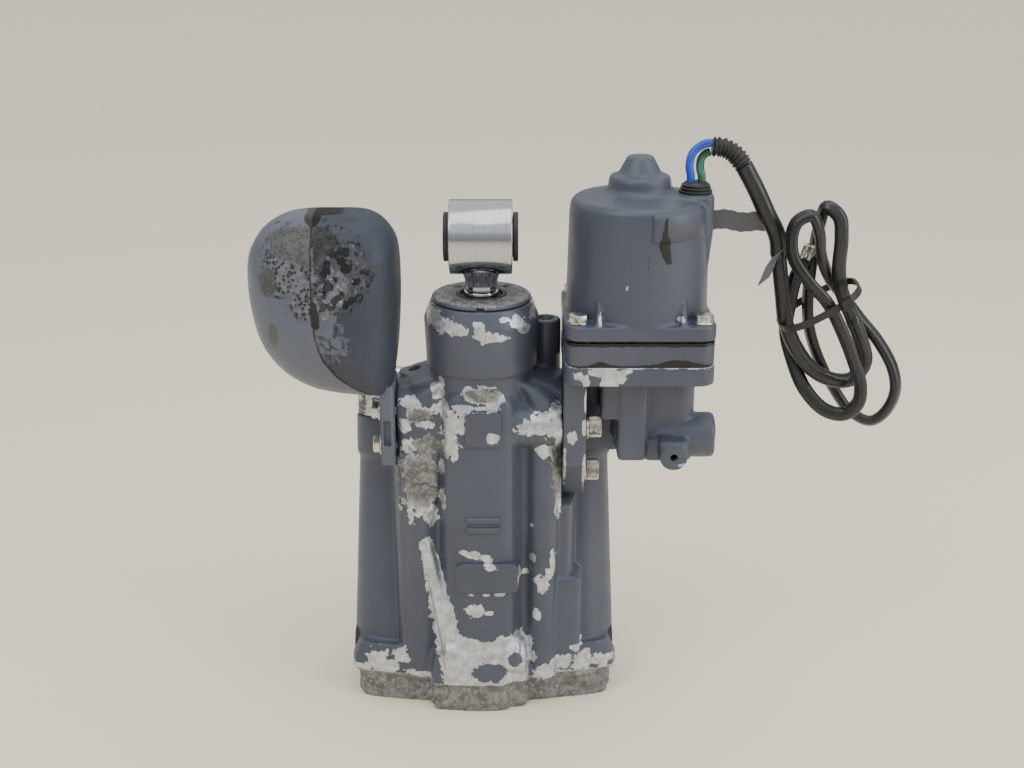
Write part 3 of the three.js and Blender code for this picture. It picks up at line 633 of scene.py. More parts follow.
def casting_pads():
    """Raised marks on the front of the tilt cylinder, with crisp edges."""
    return [
        front_slab(-9.5, 11.6, 176, 198, 3, 26, 35.3, 0.7),
        front_slab(-16, 22, 82, 101.5, 4.5, 28, 37.4, 0.8),
        bar_x(2.3, -9.5, 11, -34.3, 129.2, 2.1, 24),
        bar_x(2.3, -9.5, 11, -34.5, 123, 2.1, 24),
    ]


HEAD_WALL = [(215.2, 31.0), (216.6, 31.3), (217.6, 32.7), (246.4, 33.9), (247.6, 33.5), (256.2, 30.2), (257, 29.0)]
HEAD_PULL = 1.1
TOWER_X, TOWER_Y, TOWER_CLEAR = 38.5, 20, 12


def crisp_head(piece):
    """Pulls the cylinder head's wall back onto its turned profile, clear of the tower beside it."""
    heights, radii = zip(*HEAD_WALL)
    for v in piece.data.vertices:
        x, y, z = v.co / MM
        r = math.hypot(x, y)
        if 214 < z < 257.2 and r > 28.5:
            wanted = float(np.interp(z, heights, radii))
            if abs(r - wanted) < HEAD_PULL and math.hypot(x - TOWER_X, y - TOWER_Y) > TOWER_CLEAR:
                v.co.x *= wanted / r
                v.co.y *= wanted / r


def casting_cutters():
    shapes = [
        bar_z(26, 52, 262, 0, 0, 0.1, 96),
        bar_x(11.5, -100, 100, MOUNT_Y, MOUNT_Z, 0.1),
        bar_z(4, 190, 215, -41, 13, 0.1),
        bar_z(5.5, 225, 245, 38.5, 20, 0.1),
        slab(-70, WING_X, -45, 4, 1, 158, 230, 0.1),
        slab(FACE_X, 82, -45, 10.3, 1, 132, 220, 0.1),
    ]
    for side in (-1, 1):
        shapes.append(leaned(turned([(0, 0), (17, 0), (17, 112), (24.3, 112), (24.3, 170), (0, 170)], 72, 0.1), side))
    return shapes


CASTING_CHIPS = [
    # chamfer under the retainer
    (-27, 251, 8, 6, 0), (-19, 248, 9, 6.5, 0), (-12, 247, 6, 4.5, 0), (-1, 247, 4.5, 6, 0), (3, 243, 9, 4.5, 0),
    (10, 241.5, 8, 3, 0), (21, 249, 6, 5, 0), (25, 245, 4, 4, 0), (30, 253, 3, 6, 0), (14, 252, 4, 2, 0),
    # around the square pad
    (-25, 207, 5, 9, 0), (-22, 198, 6, 7, 0), (-17, 190, 8, 11, 0), (-19, 178, 7, 12, 0), (-16, 171, 4, 7, 0),
    (0, 207, 13, 7, 0), (7, 204, 7, 6, 0), (-10, 199.5, 13, 3, 0), (4, 199.5, 10, 2.4, 0), (6, 182, 5.5, 4.2, 0),
    (-11, 190, 2.4, 12, 0),
    # left wing and the pad under it
    (-42, 200, 9, 4, 0), (-36, 193, 13, 6, 0), (-45, 186, 5, 6, 0), (-33, 187, 7, 4, 0), (-32, 174, 12, 6.5, 0),
    (-42, 173, 8, 6, 0), (-37, 158, 15, 17, 0), (-37, 140, 13, 15, 0), (-31, 130, 6, 11, 0), (-43, 130, 3, 12, 0),
    (-24, 141, 3, 8, 0), (-24, 160, 3, 7, 0),
    # right wing and the strip under it
    (27, 186, 9, 6, 0), (36, 188, 11, 8, 0), (44, 192, 5, 12, 0), (46, 180, 5, 12, 0), (37, 171, 5.5, 7, 0),
    (44, 168, 5, 9, 0), (45.5, 154, 4.5, 17, 0), (46, 135, 2.6, 12, 0), (42.6, 99, 2.4, 9, 0), (41, 91, 3, 6, 0),
    (37, 85, 6, 6.5, 0), (30.5, 101, 2.4, 3.2, 0), (30, 122, 1.4, 1.7, 0), (33, 64, 2.6, 6, 0), (26, 90, 3, 2.2, 0),
    # middle
    (-11, 108.5, 3.4, 2.4, 0), (-5, 107, 6, 3, 0), (1, 105, 6, 2.6, 0), (4, 102.5, 3.6, 3.4, 0), (5.5, 99, 4, 3.2, 0),
    (22.4, 91, 1.2, 6, 0), (-7, 80.6, 3, 1.2, 0), (2, 80.6, 3.6, 1.4, 0), (10, 80.6, 5, 1.4, 0), (-4, 69.5, 7, 6, 0),
    (3, 68.5, 4, 2, 0),
    # foot
    (-12, 47, 12, 6, 0), (2, 45, 12, 5, 0), (14, 48, 9, 6, 0), (20, 46, 8, 7, 0), (-21, 38, 8, 16, 0),
    (-14, 34, 10, 8, 0), (27, 36, 6, 14, 0), (-66, 28, 9, 9, 0), (-58, 24, 8, 6, 0), (-51, 33, 6, 6.5, 0),
    (-40, 21, 12, 3.5, 0), (-76, 22, 8, 3, 0), (38, 25, 9, 6, 0), (49, 28, 11, 8, 0), (61, 27, 9, 9, 0),
    (57, 39, 7, 3, 0), (74, 26, 10, 5, 0),
]
CHIP_TRIM = 0.2


def casting_wear(x, y, z):
    wear = patches(CASTING_CHIPS)(x, y, z) - CHIP_TRIM
    t = np.clip((110 - z) / 70, 0, 1)
    along = np.hypot((x + 34 - 15 * t) / (3.6 + 5 * t), np.clip(z - 110, 0, 99) / 4)
    streak = np.where((y < -10) & (z > 38) & (z < 118), 1.4 * (1 - along) + 0.2, -1)
    band = np.clip((20.5 - z) / 4, -1, 1.4)
    boss = np.where((np.abs(x - 2) < 26) & (y < -30) & (z > 20) & (z < 47), 0.5, -1)
    left_paint = 1 - np.hypot((x - 5) / 14, (z - 28) / 8)
    right_paint = 1 - np.hypot((x - 20) / 6, (z - 38) / 6)
    wear = np.maximum(wear, boss)
    wear = np.where(y < -28, wear - 2.2 * np.clip(np.maximum(left_paint, right_paint), 0, 1), wear)
    rear = np.where(y > 30, 0.02 - np.abs(z - 150) / 60, -1)
    return np.maximum.reduce([wear, streak, band, rear])


def casting_oxide(x, y, z):
    band = np.clip((20 - z) / 3, -1, 1)
    spots = patches([(-37, 152, 15, 20, 0), (-30, 172, 10, 10, 0), (46, 158, 6, 22, 0), (1, 207, 10, 5, 0),
                     (-36, 192, 9, 5, 0), (-33, 175, 8, 5, 0)])(x, y, z)
    return np.maximum(band, spots * 0.7)


def foot_notch(piece):
    """The bite broken out of the foot to the right of its middle."""
    return carve(piece, placed(capsule((29, -34, 2), (33, -33, 13), 3.4, 4.4, 9)),
                 placed(capsule((24, -37, 15), (37, -31, 17), 1.6, 1.8, 8)),
                 placed(capsule((-30.5, -36, 0), (-30.5, -36, 4), 1, 1, 8)))


def casting(paint):
    piece = cast("casting", casting_shapes(), 0.95, 5)
    crisp_head(piece)
    for v in piece.data.vertices:
        v.co.z = max(v.co.z, 0)
    roughen(piece, 1.1, lambda x, y, z: min(1, max(0, (19 - z) / 5)) * min(1, z / 1.5), 150)
    roughen(piece, 0.9, lambda x, y, z: 1.0 if -48 < x < -25 and 124 < z < 170 and y < -18 else 0.0, 160)
    roughen(piece, 0.8, lambda x, y, z: 1.0 if 40 < x < 48 and 140 < z < 200 and y < -8 else 0.0, 170)
    foot_notch(piece)
    carve(piece, *casting_cutters())
    set_field(piece, "wear", casting_wear)
    set_field(piece, "oxide", casting_oxide)
    finish_piece(piece, paint, replaces=["cylinder_housing"])
    pads = cast("casting_pads", casting_pads(), 0.5, 2)
    set_field(pads, "wear", casting_wear)
    set_field(pads, "oxide", casting_oxide)
    finish_piece(pads, paint, replaces=["cylinder_housing"])


# ---------- tilt rod and its retainer ----------


def spanner_holes():
    return [bar_z(2, CAP_TOP - 3, CAP_TOP + 3, 20 * math.cos(a), 20 * math.sin(a), 0.1, 24)
            for a in (math.radians(45 + 90 * k) for k in range(4))]


def retainer(looks):
    r = 29.3
    profile = [(ROD_R + 0.3, 236), (25.7, 236), (25.7, 257.3), (r, 257.3), (r, CAP_TOP - 1.4), (r - 1.4, CAP_TOP),
               (14.7, CAP_TOP), (14.7, CAP_TOP - 4), (ROD_R + 0.3, CAP_TOP - 4), (ROD_R + 0.3, 236)]
    cap = mesh_object("retainer", *turned(profile, 128, 0.5))
    carve(cap, *spanner_holes(), slab(-2.3, 2.3, -33, -26.6, 0.8, 250, 266, 0.2))
    set_field(cap, "wear", lambda x, y, z: np.where(z > 259.5, 0.75 - np.abs(np.hypot(x, y) - 24) / 9, -0.25))
    set_field(cap, "oxide", level(0.4))
    finish_piece(cap, looks["retainer"], replaces=["tilt_cap"])
    seal = mesh_object("rod_wiper", *turned([
        (ROD_R + 0.3, CAP_TOP - 3.7), (14.3, CAP_TOP - 3.7), (14.3, CAP_TOP + 0.2), (12.7, CAP_TOP + 0.2),
        (12.3, CAP_TOP - 2), (ROD_R + 0.3, CAP_TOP - 2.4), (ROD_R + 0.3, CAP_TOP - 3.7)], 96, 0.3))
    finish_piece(seal, looks["rubber"], replaces=["tilt_wiper_seal"])


def rod_and_eye(looks):
    rod = mesh_object("polished_rod", *turned([
        (0, 60), (6.8, 60), (6.8, 95.3), (ROD_R, 95.3), (ROD_R, 262), (7, 262), (7, 271.5), (0, 271.5)], 96, 0.5))
    finish_piece(rod, looks["chrome"], "tilt_rod_set", ["tilt_rod"])
    neck = turned([(0, 262.3), (9.6, 262.3), (9.2, 265.5), (9.8, 269), (11.4, 272.5), (13.2, 276.5), (13.2, 281),
                   (0, 281)], 128, 1.2)
    barrel = placed(turned([(0, -EYE_W / 2), (EYE_R, -EYE_W / 2), (EYE_R, EYE_W / 2), (0, EYE_W / 2)], 160, 0.9),
                    (0, math.pi / 2, 0), (0, 0, EYE_Z))
    eye = mesh_object("rod_end_eye", *barrel)
    boolean(eye, neck, "UNION")
    carve(eye, bar_x(11.8, -40, 40, 0, EYE_Z, 0.1, 96), bar_z(7.3, 255, 271.8, 0, 0, 0.1))
    finish_piece(eye, looks["eye"], "tilt_rod_set", ["rod_eye"], smooth=False)
    shade_by_angle(eye, 35)
    for name, side in (("eye_bush_left", -1), ("eye_bush_right", 1)):
        face = EYE_W / 2 + 0.3
        shape = turned([(10, 0.4), (11.5, 0.4), (11.5, face), (14.25, face), (14.25, face + 3), (10, face + 3),
                        (10, 0.4)], 96, 0.6)
        bush = mesh_object(f"{name}_bearing", *placed(shape, (0, side * math.pi / 2, 0), (0, 0, EYE_Z)))
        finish_piece(bush, looks["rubber"], "tilt_rod_set", [name])


def shade_by_angle(piece, degrees):
    mesh = piece.data
    mesh.shade_smooth()
    mesh.set_sharp_from_angle(angle=math.radians(degrees))


def trim_rods(looks):
    for name, side in (("left", -1), ("right", 1)):
        rod = mesh_object(f"{name}_trim_plunger", *leaned(turned([
            (0, 6), (5, 6), (5, 26.3), (8, 26.3), (8, 138.2), (5.4, 141.2), (0, 141.8)], 64, 1.2), side))
        finish_piece(rod, looks["chrome"], f"{name}_trim_rod_set", [f"{name}_trim_rod"])
        cap = mesh_object(f"{name}_trim_gland", *leaned(turned([
            (8.3, 100), (16.7, 100), (16.7, 112.3), (24, 112.3), (24, 134), (22, 136.5), (12.3, 136.5), (12.3, 133.5),
            (8.3, 133.5), (8.3, 100)], 96, 0.8), side))
        wear = patches([(side * 70, 181, 12, 14, 99), (side * 58, 190, 8, 4, 99), (side * 49, 176, 6, 5, 99)])
        set_field(cap, "wear", lambda x, y, z, w=wear: w(x, y, z) - 0.1)
        set_field(cap, "oxide", level(-1.0))
        finish_piece(cap, looks["paint"], replaces=[f"{name}_trim_cap"], smooth=False)
        shade_by_angle(cap, 40)
        seal = mesh_object(f"{name}_trim_dust_seal", *leaned(turned([
            (8.3, 133.8), (12, 133.8), (12, 137.2), (8.3, 137.2), (8.3, 133.8)], 64, 0.5), side))
        finish_piece(seal, looks["rubber"], replaces=[f"{name}_trim_wiper"])


def lower_bushes(looks):
    for name, side in (("lower_bush_left", -1), ("lower_bush_right", 1)):
        low, high = corners(name)
        end = max(abs(low[0]), abs(high[0]))
        shape = turned([(8.5, 60), (11.2, 60), (11.2, end), (8.5, end), (8.5, 60)], 72, 0.6)
        bush = mesh_object(f"{name}_bearing",
                           *placed(shape, (0, side * math.pi / 2, 0), (0, MOUNT_Y, MOUNT_Z)))
        finish_piece(bush, looks["rubber"], replaces=[name])


# ---------- tank ----------

TANK_Y = -14
TANK_CENTRE = (-90, 260)
TANK_OUTLINE = [
    (-46, 267), (-46.5, 289), (-49, 299), (-56, 308), (-66, 312.5), (-82, 313), (-98, 312.7), (-110, 310.5),
    (-121, 304.5), (-128, 296), (-132, 286), (-132.8, 272), (-131.8, 258), (-128.4, 241), (-122, 228),
    (-112, 217), (-99, 209.5), (-86, 206), (-74, 204.5), (-62, 203.8), (-53, 204.5), (-50, 220), (-47.5, 240),
]
SEAM = [(-93, 340), (-93, 262), (-92, 246), (-88, 233), (-81, 222), (-71, 212.5), (-62, 206), (-59, 203), (-59, 150)]


def tank_body(inset, levels=41):
    depth = 34 - inset
    cx, cz = TANK_CENTRE
    outline = smooth_ring(TANK_OUTLINE, 5)
    rings = []
    for t in np.sin(np.linspace(-math.pi / 2, math.pi / 2, levels)):
        s = max(0.02, (1 - abs(t) ** 2.5)) ** (1 / 2.5)
        ring = []
        for x, z in outline:
            k = s * (1 - inset / math.hypot(x - cx, z - cz))
            ring.append((cx + (x - cx) * k, TANK_Y + t * depth, cz + (z - cz) * k))
        rings.append(ring)
    return loft(rings)


def seam_block(shift):
    """Everything on the motor's side of the weld."""
    outline = [(x + shift, z + shift * 0.5) for x, z in SEAM] + [(0, 150), (0, 340)]
    return loft([[(x, y, z) for x, z in outline] for y in (-90, 90)])


def bristle(piece, amount=0.45):
    """Heat-bubbled paint: small blisters round the middle of the tank's front."""
    for v in piece.data.vertices:
        x, y, z = v.co / MM
        w = 1 - math.hypot((x + 92) / 34, (z - 262) / 34)
        if w > 0 and y < TANK_Y:
            n = noise.fractal(v.co * 260, 0.9, 2.2, 3)
            v.co += v.normal * (abs(n) * amount * min(1, w * 3) * MM)


def tank_wear(x, y, z):
    spots = [(-102, 290, 24, 22, -10), (-92, 286, 26, 28, -10), (-78, 282, 22, 26, -10), (-74, 288, 11, 16, -10),
             (-112, 278, 12, 10, -10), (-94, 266, 16, 12, -10), (-82, 268, 16, 10, -10)]
    return patches(spots)(x, y, z) * 1.5 - 0.25


def tank_smear(x, y, z):
    return patches([(-103, 299, 18, 9, -10), (-117.5, 278, 6, 9, -10), (-88, 300, 12, 7, -10), (-116, 247, 3, 8, -10),
                    (-95, 292, 8, 6, -10)])(x, y, z)


# Near-black marks on the tank: the weld seam along its line and over the top, a joint at the neck, and painted shade
# down the right-hand face.
def tank_seam_and_edge_shade(x, y, z):
    top = patches([(-92, 313.6, 13, 0.9), (-93, 311, 5, 4), (-84, 313, 8, 1.2)])(x, y, z)
    near = np.full(x.shape, 1e9)
    for (ax, az), (bx, bz) in zip(SEAM[1:-1], SEAM[2:]):
        dx, dz = bx - ax, bz - az
        t = np.clip(((x - ax) * dx + (z - az) * dz) / (dx * dx + dz * dz), 0, 1)
        near = np.minimum(near, np.hypot(x - ax - t * dx, z - az - t * dz))
    near = np.minimum(near, np.where(z > 262, np.abs(x + 93), 1e9))
    width = np.where(z < 240, 1.5, 0.9)
    # painted shade: a black band down the tank's right-hand face, where it turns away from the light
    edge = np.where((x > -46.9) & (y < -6) & (z > 244) & (z < 298), 0.1, -1)
    joint = np.where((x > -49.6) & (y < 0) & (z < 236), 0.3, -1)
    return np.maximum.reduce([top, 0.6 - near / width, edge, joint])


def tank(looks):
    neck = slab(-59, WING_X - 0.3, -31, 2, 2.5, 163, 212, 0.8)
    passages = [bar_x(3.3, -70, -40, y, z, 0.1) for y, z in ((-20, 194), (-17, 171))]
    inner = mesh_object("tank_half_motor_side", *tank_body(0))
    boolean(inner, seam_block(0), "INTERSECT")
    boolean(inner, neck, "UNION")
    boolean(inner, tank_body(3), "DIFFERENCE")
    boolean(inner, joined(*passages, front_slab(-57, -52.6, 175.5, 191.5, 0.9, 28, 34, 0.2)), "DIFFERENCE")
    outer = mesh_object("tank_half_outer_side", *tank_body(0))
    boolean(outer, seam_block(-0.3), "DIFFERENCE")
    boolean(outer, tank_body(3), "DIFFERENCE")
    boolean(outer, bar_y(6.3, 0, 60, -104, 284, 0.1), "DIFFERENCE")
    for half, node in ((inner, "tank_inner_half"), (outer, "tank_outer_half")):
        refine_half(half)
        bristle(half)
        set_field(half, "wear", tank_wear)
        set_field(half, "dark", tank_seam_and_edge_shade)
        set_field(half, "smear", tank_smear)
        finish_piece(half, looks["tank"], replaces=[node])
        shade_by_angle(half, 50)
    plug = mesh_object("tank_filler_plug", *joined(
        bar_y(6, 10, 20.6, -104, 284, 0.3), bar_y(9, 20.6, 24, -104, 284, 0.8)))
    finish_piece(plug, looks["rubber"], replaces=["tank_fill_plug"])
    for name, y, z in (("tank_bolt_upper", -20, 194), ("tank_bolt_lower", -17, 171)):
        flange_bolt(name, looks, 22, (0, -math.pi / 2, 0), (-59.3, y, z), 9.6)


def refine_half(half):
    """Splits the longest edges, so that the blisters have something to lift."""
    mesh = bmesh.new()
    mesh.from_mesh(half.data)
    long = [e for e in mesh.edges if e.calc_length() > 4.5 * MM and -48 * MM > e.verts[0].co.x > -130 * MM]
    bmesh.ops.subdivide_edges(mesh, edges=long, cuts=2, use_grid_fill=True)
    bmesh.ops.triangulate(mesh, faces=[f for f in mesh.faces if len(f.verts) > 4])
    mesh.to_mesh(half.data)
    mesh.free()


# ---------- fasteners ----------


def hexagon(across, z0, z1):
    """A hexagon head with its top corners turned off."""
    r = across / math.sqrt(3)
    rings = []
    for inset, z in ((0, z0), (0, z1 - 0.7), (0.25, z1 - 0.3), (1.1, z1)):
        rings.append([((r - inset) * math.cos(math.tau * k / 6), (r - inset) * math.sin(math.tau * k / 6), z)
                      for k in range(6)])
    return loft(rings)


def flange_bolt(node, looks, shank, turn, move, across):
    head = joined(
        turned([(0, -shank), (2.9, -shank), (2.9, -0.2), (0, -0.2)], 32, 0.3),
        turned([(0, 0), (6.2, 0), (6.1, 0.7), (across / 2 + 0.2, 1.5), (0, 1.5)], 64, 0.3),
        hexagon(across, 1.2, 5.2),
    )
    bolt = mesh_object(f"{node}_head", *placed(head, turn, move))
    bevel = bolt.modifiers.new("edges", "BEVEL")
    bevel.width = 0.25 * MM
    bevel.segments = 2
    bevel.limit_method = "ANGLE"
    apply_modifiers(bolt)
    shade_by_angle(bolt, 30)
    return finish_piece(bolt, looks["zinc"], replaces=[node], smooth=False)


def socket_screw(node, looks, y, z):
    knurl = []
    for k in range(120):
        a = math.tau * k / 120
        r = 6.5 if k % 2 else 6.22
        knurl.append((r * math.cos(a), r * math.sin(a)))
    head = loft([[(px * s, py * s, h) for px, py in knurl]
                 for s, h in ((0.95, 1.7), (1, 2.3), (1, 8.4), (0.97, 9.0), (0.9, 9.4))])
    screw = mesh_object(f"{node}_head", *placed(joined(
        turned([(0, -26), (3.9, -26), (3.9, 0), (0, 0)], 48, 0.4), head), (0, math.pi / 2, 0), (61.6, y, z)))
    carve(screw, placed(hexagon(6, 5, 14), (0, math.pi / 2, 0), (61.6, y, z)))
    shade_by_angle(screw, 25)
    finish_piece(screw, looks["zinc"], replaces=[node], smooth=False)
    washer = mesh_object(f"{node}_washer", *placed(
        turned([(4.2, 0), (7.6, 0), (7.6, 1.4), (4.2, 1.4), (4.2, 0)], 64, 0.35), (0, math.pi / 2, 0),
        (61.65, y, z)))
    shade_by_angle(washer, 40)
    finish_piece(washer, looks["zinc"], smooth=False)


# ---------- motor and pump ----------


def at_bolts(r, z0, z1, edge=0.1, segments=32):
    """An upright bar at each of the motor's four bolts."""
    return [bar_z(r, z0, z1, MOTOR_X + sx * BOLT_PITCH, sy * BOLT_Y, edge, segments)
            for sx in (-1, 1) for sy in (-1, 1)]


def motor_shapes():
    r = 41
    base = MOTOR_LOW[2]
    shell = placed(turned([
        (0, base), (r + 1, base), (r + 0.3, base + 14), (r - 0.9, 309), (r - 1.7, 314.8), (r - 4.2, 317.4),
        (29, 318.6), (21.5, 320.2), (18.2, 322.6), (17.8, 327.8), (16.6, 330), (12.6, 330.8), (7.6, 340.2),
        (6.8, MOTOR_TOP), (0, MOTOR_TOP)], 160, 1.2), move=(MOTOR_X, 0, 0))
    x0, x1 = MOTOR_X - FLANGE_HALF, MOTOR_X + FLANGE_HALF
    flange = slab(x0, x1, -42, 42, 9, base, 251.4, 0.8)
    boss = loft([[(px, py, z) for px, py in round_outline(108, x1, -16, 8, 6)] for x1, z in
                 ((127.5, 252), (131.5, 285), (132.8, 300), (132.8, 319.2), (132, 320.1))])
    collar = bar_z(10.2, 300, 320.8, 122.5, -4, 0.8)
    gussets = []
    for side in (-1, 1):
        cx = MOTOR_X + side * (BOLT_PITCH - 11.5)
        gussets.append(loft([
            [(px, py, z) for px, py in round_outline(cx - w, cx + w, -41 + back, -28, 0.8, 3)]
            for w, back, z in ((2.2, 0, 250), (1.8, 1.5, 254), (1.4, 4, 259), (0.9, 7, 264))]))
    return [shell, flange, boss, collar, *gussets, *at_bolts(7.4, 249, 251.9, 0.4, 64)]


def motor_pad():
    """A shallow raised field on the shell, which carries nothing."""
    arc = [math.radians(-83 + 50 * k / 24) for k in range(25)]
    rings = []
    for r, z in ((40.4, 299.4), (41.5, 300.2), (40.9, 312.5), (39.9, 315.2)):
        outer = [(MOTOR_X + r * math.cos(a), r * math.sin(a), z) for a in arc]
        inner = [(MOTOR_X + 37.8 * math.cos(a), 37.8 * math.sin(a), z) for a in reversed(arc)]
        rings.append(outer + inner)
    return loft(rings)


def motor(looks):
    piece = cast("motor_can", motor_shapes(), 0.95, 4)
    boolean(piece, motor_pad(), "UNION")
    holes = at_bolts(3.2, 200, 260)
    hollow = placed(turned([(0, 230), (37.2, 230), (37.2, 307), (12, 307), (12, 321.7), (7.3, 321.7), (7.3, 330),
                            (0, 330)], 96, 0.2), move=(MOTOR_X, 0, 0))
    carve(piece, *holes, hollow)
    carve(piece, bar_z(6.3, 300, 330, 122.5, -4, 0.1, 48))
    spots = patches([(82.4, 274, 1.7, 2, 0), (67.5, 256, 1.2, 6, 0), (113, 255, 3, 2, 0)])
    set_field(piece, "wear", lambda x, y, z: spots(x, y, z) - 0.3)
    set_field(piece, "oxide", level(-1.0))
    set_field(piece, "black_marks_and_gap_shade", motor_sealant_and_gap_shade)
    finish_piece(piece, looks["motor"], replaces=["motor_housing"])
    mid = mesh_object("motor_foot_plate", *slab(MOTOR_X - FLANGE_HALF + 0.4, MOTOR_X + FLANGE_HALF - 0.4, -41.6, 41.6,
                                                 9, MID_LOW[2], MID_HIGH[2], 0.7))
    carve(mid, *holes, bar_z(4.3, 220, 245, MOTOR_X, 0, 0.1), bar_z(9.3, 234, 245, MOTOR_X, 0, 0.1))
    dense(mid, 2)
    set_field(mid, "wear", level(-1.0))
    set_field(mid, "oxide", level(-1.0))
    set_field(mid, "black_marks_and_gap_shade", mid_plate_bare_and_gap_shade)
    finish_piece(mid, looks["motor"], replaces=["motor_mid_plate"], smooth=False)
    shade_by_angle(mid, 40)
    for i, (sx, sy) in enumerate(((-1, -1), (1, -1), (-1, 1), (1, 1)), 1):
        flange_bolt(f"motor_bolt_{i}", looks, 32, (0, 0, 0.4 * i),
                    (MOTOR_X + sx * BOLT_PITCH, sy * BOLT_Y, 251.95), 10)


def dense(piece, cell):
    """Splits long faces so that a field stored on the vertices can follow its shape."""
    mesh = bmesh.new()
    mesh.from_mesh(piece.data)
    bmesh.ops.triangulate(mesh, faces=mesh.faces)
    for _ in range(5):
        long = [e for e in mesh.edges if e.calc_length() > cell * MM]
        if not long:
            break
        bmesh.ops.subdivide_edges(mesh, edges=long, cuts=1, use_grid_fill=False)
        bmesh.ops.triangulate(mesh, faces=[f for f in mesh.faces if len(f.verts) > 3])
    mesh.to_mesh(piece.data)
    mesh.free()


def motor_sealant_and_gap_shade(x, y, z):
    """A run of black sealant on the pad, and painted shade: black lines for the gaps along the pad's edges and for the
    gap at the joint below.
    """
    t = np.clip((313 - z) / 26, 0, 1)
    width = 0.6 + 1.9 * np.sin(np.pi * t) + 0.6 * t
    middle = 102.8 - 0.8 * np.sin(np.pi * t) + 2.6 * t ** 3
    run = np.where((z < 313.5) & (z > 287) & (y < -20), 1.2 - np.abs(x - middle) / width, -1)
    # painted shade: black lines for the gaps along the pad's edges
    line = np.where((y < -20) & (z > 284) & (z < 293.5), 0.6 - np.abs(x - 93.3) / 0.7, -1)
    corner = np.where((y < -12) & (z > 301) & (z < 316), 0.55 - np.abs(x - 124.8) / 0.8, -1)
    # painted shade: a black line for the gap between the motor's foot and the plate under it
    foot = np.where(y < 0, 0.62 - np.abs(z - MOTOR_LOW[2] - 0.5) / 1.2, -1)
    return np.maximum.reduce([run, line, corner, foot])


def mid_plate_bare_and_gap_shade(x, y, z):
    # painted shade: a black band along the plate's top edge, for the gap under the motor's foot
    top = 0.7 - np.abs(z - MID_HIGH[2] + 1) / 1.8
    # black plastic bared along the bottom edge where the paint has come off
    hump = 3.6 * np.exp(-((x - 112) / 12) ** 2) + 2.4 * np.exp(-((x - 68) / 5) ** 2)
    bottom = 0.6 - np.clip(z - MID_LOW[2] - hump, 0, 99) / 1.6
    return np.where(y < 0, np.maximum(top, bottom), top - 0.5)


def pump_shapes():
    x0, x1 = MOTOR_X - FLANGE_HALF, MOTOR_X + FLANGE_HALF
    top = PUMP_HIGH[2]
    outline = [(-31, 217), (-31, 163), (-27, 158), (-12, 138), (-9, 136), (6, 136), (9.7, 139), (9.7, 217)]
    mount = loft([[(x, y * k, z) for y, z in outline] for x, k in
                  ((FACE_X + 0.3, 0.99), (FACE_X + 1, 1), (60.5, 1), (61.3, 0.985))])
    return [
        slab(x0, x1, -42, 42, 9, 216, top, 0.8),
        mount,
        slab(56, 82, -4, 9.7, 2, 162, 220, 0.5),
        slab(78, 126, -22, 22, 9, 172, 220, 1.5),
        slab(70, 97, -29, 0, 3, 191, 220, 1.2),
        slab(80, 97, -31, 0, 3, 166, 220, 1.2),
        placed(turned([(0, 92), (6, 92), (8.5, 97), (13.5, 118), (13.5, 136), (12.3, 138.1), (0, 138.4)], 96, 1.2),
               (0, math.pi / 2, 0), (0, -14, 176.5)),
        slab(96, 124, -26, -4, 4, 164, 178, 1),
        bar_y(8.2, -37, -12, 112.5, 170.5, 0.8),
        slab(104.3, 120.7, -36, -12, 3, 170, 180, 0.8),
    ]


def pump_wear(x, y, z):
    spots = patches([
        (70, 225, 9, 3, 0), (77, 222, 6, 4.5, 0), (73, 219, 6, 4.5, 0), (82, 225, 4, 2, 0), (56, 222.5, 3.4, 2.4, 0),
        (60, 219, 1.8, 5, 0), (61, 204, 1, 8, 0), (60.5, 187, 2, 6, -12), (53, 181, 3.2, 4, -25), (49, 160, 1, 14, 0),
        (60.8, 158, 1.2, 14, 0), (138, 176, 0.8, 6), (118, 166, 3, 1.2),
    ])(x, y, z)
    edge = np.where(y < 0, 0.5 - np.abs(z - PUMP_HIGH[2]) / 1.3, -1)
    return np.maximum(spots, edge)


def pump(looks):
    piece = cast("pump_casting", pump_shapes(), 0.85, 5)
    carve(piece, *at_bolts(3.3, 218.5, 240), bar_x(7, 104, 150, -14, 176.5, 0.1),
          bar_y(2.3, -45, -28, 112.5, 170.5, 0.1),
          bar_x(4.3, 40, 75, -20, 184, 0.1), bar_x(4.3, 40, 75, 0, 148, 0.1), bar_y(6, -16, 40, 104, 199, 0.1),
          bar_z(9.4, 219.5, 235, MOTOR_X, 0, 0.1))
    carve(piece, bar_z(9.4, 219.5, 235, MOTOR_X, 15, 0.1), bar_z(3.4, 205, 219, MOTOR_X, 15, 0.1))
    set_field(piece, "wear", pump_wear)
    set_field(piece, "oxide", level(-1.0))
    finish_piece(piece, looks["paint"], replaces=["pump_body"])
    socket_screw("pump_screw_upper", looks, -20, 184)
    socket_screw("pump_screw_lower", looks, 0, 148)
    plug = mesh_object("shuttle_plug_head", *joined(
        bar_y(5.7, 14, 22.3, 104, 199, 0.3), placed(hexagon(13.9, 0, 2.7), (-math.pi / 2, 0, 0), (104, 22.35, 199))))
    shade_by_angle(plug, 30)
    finish_piece(plug, looks["zinc"], replaces=["shuttle_plug"], smooth=False)


# ---------- electric lead, with its route as in the CAD, in millimetres ----------

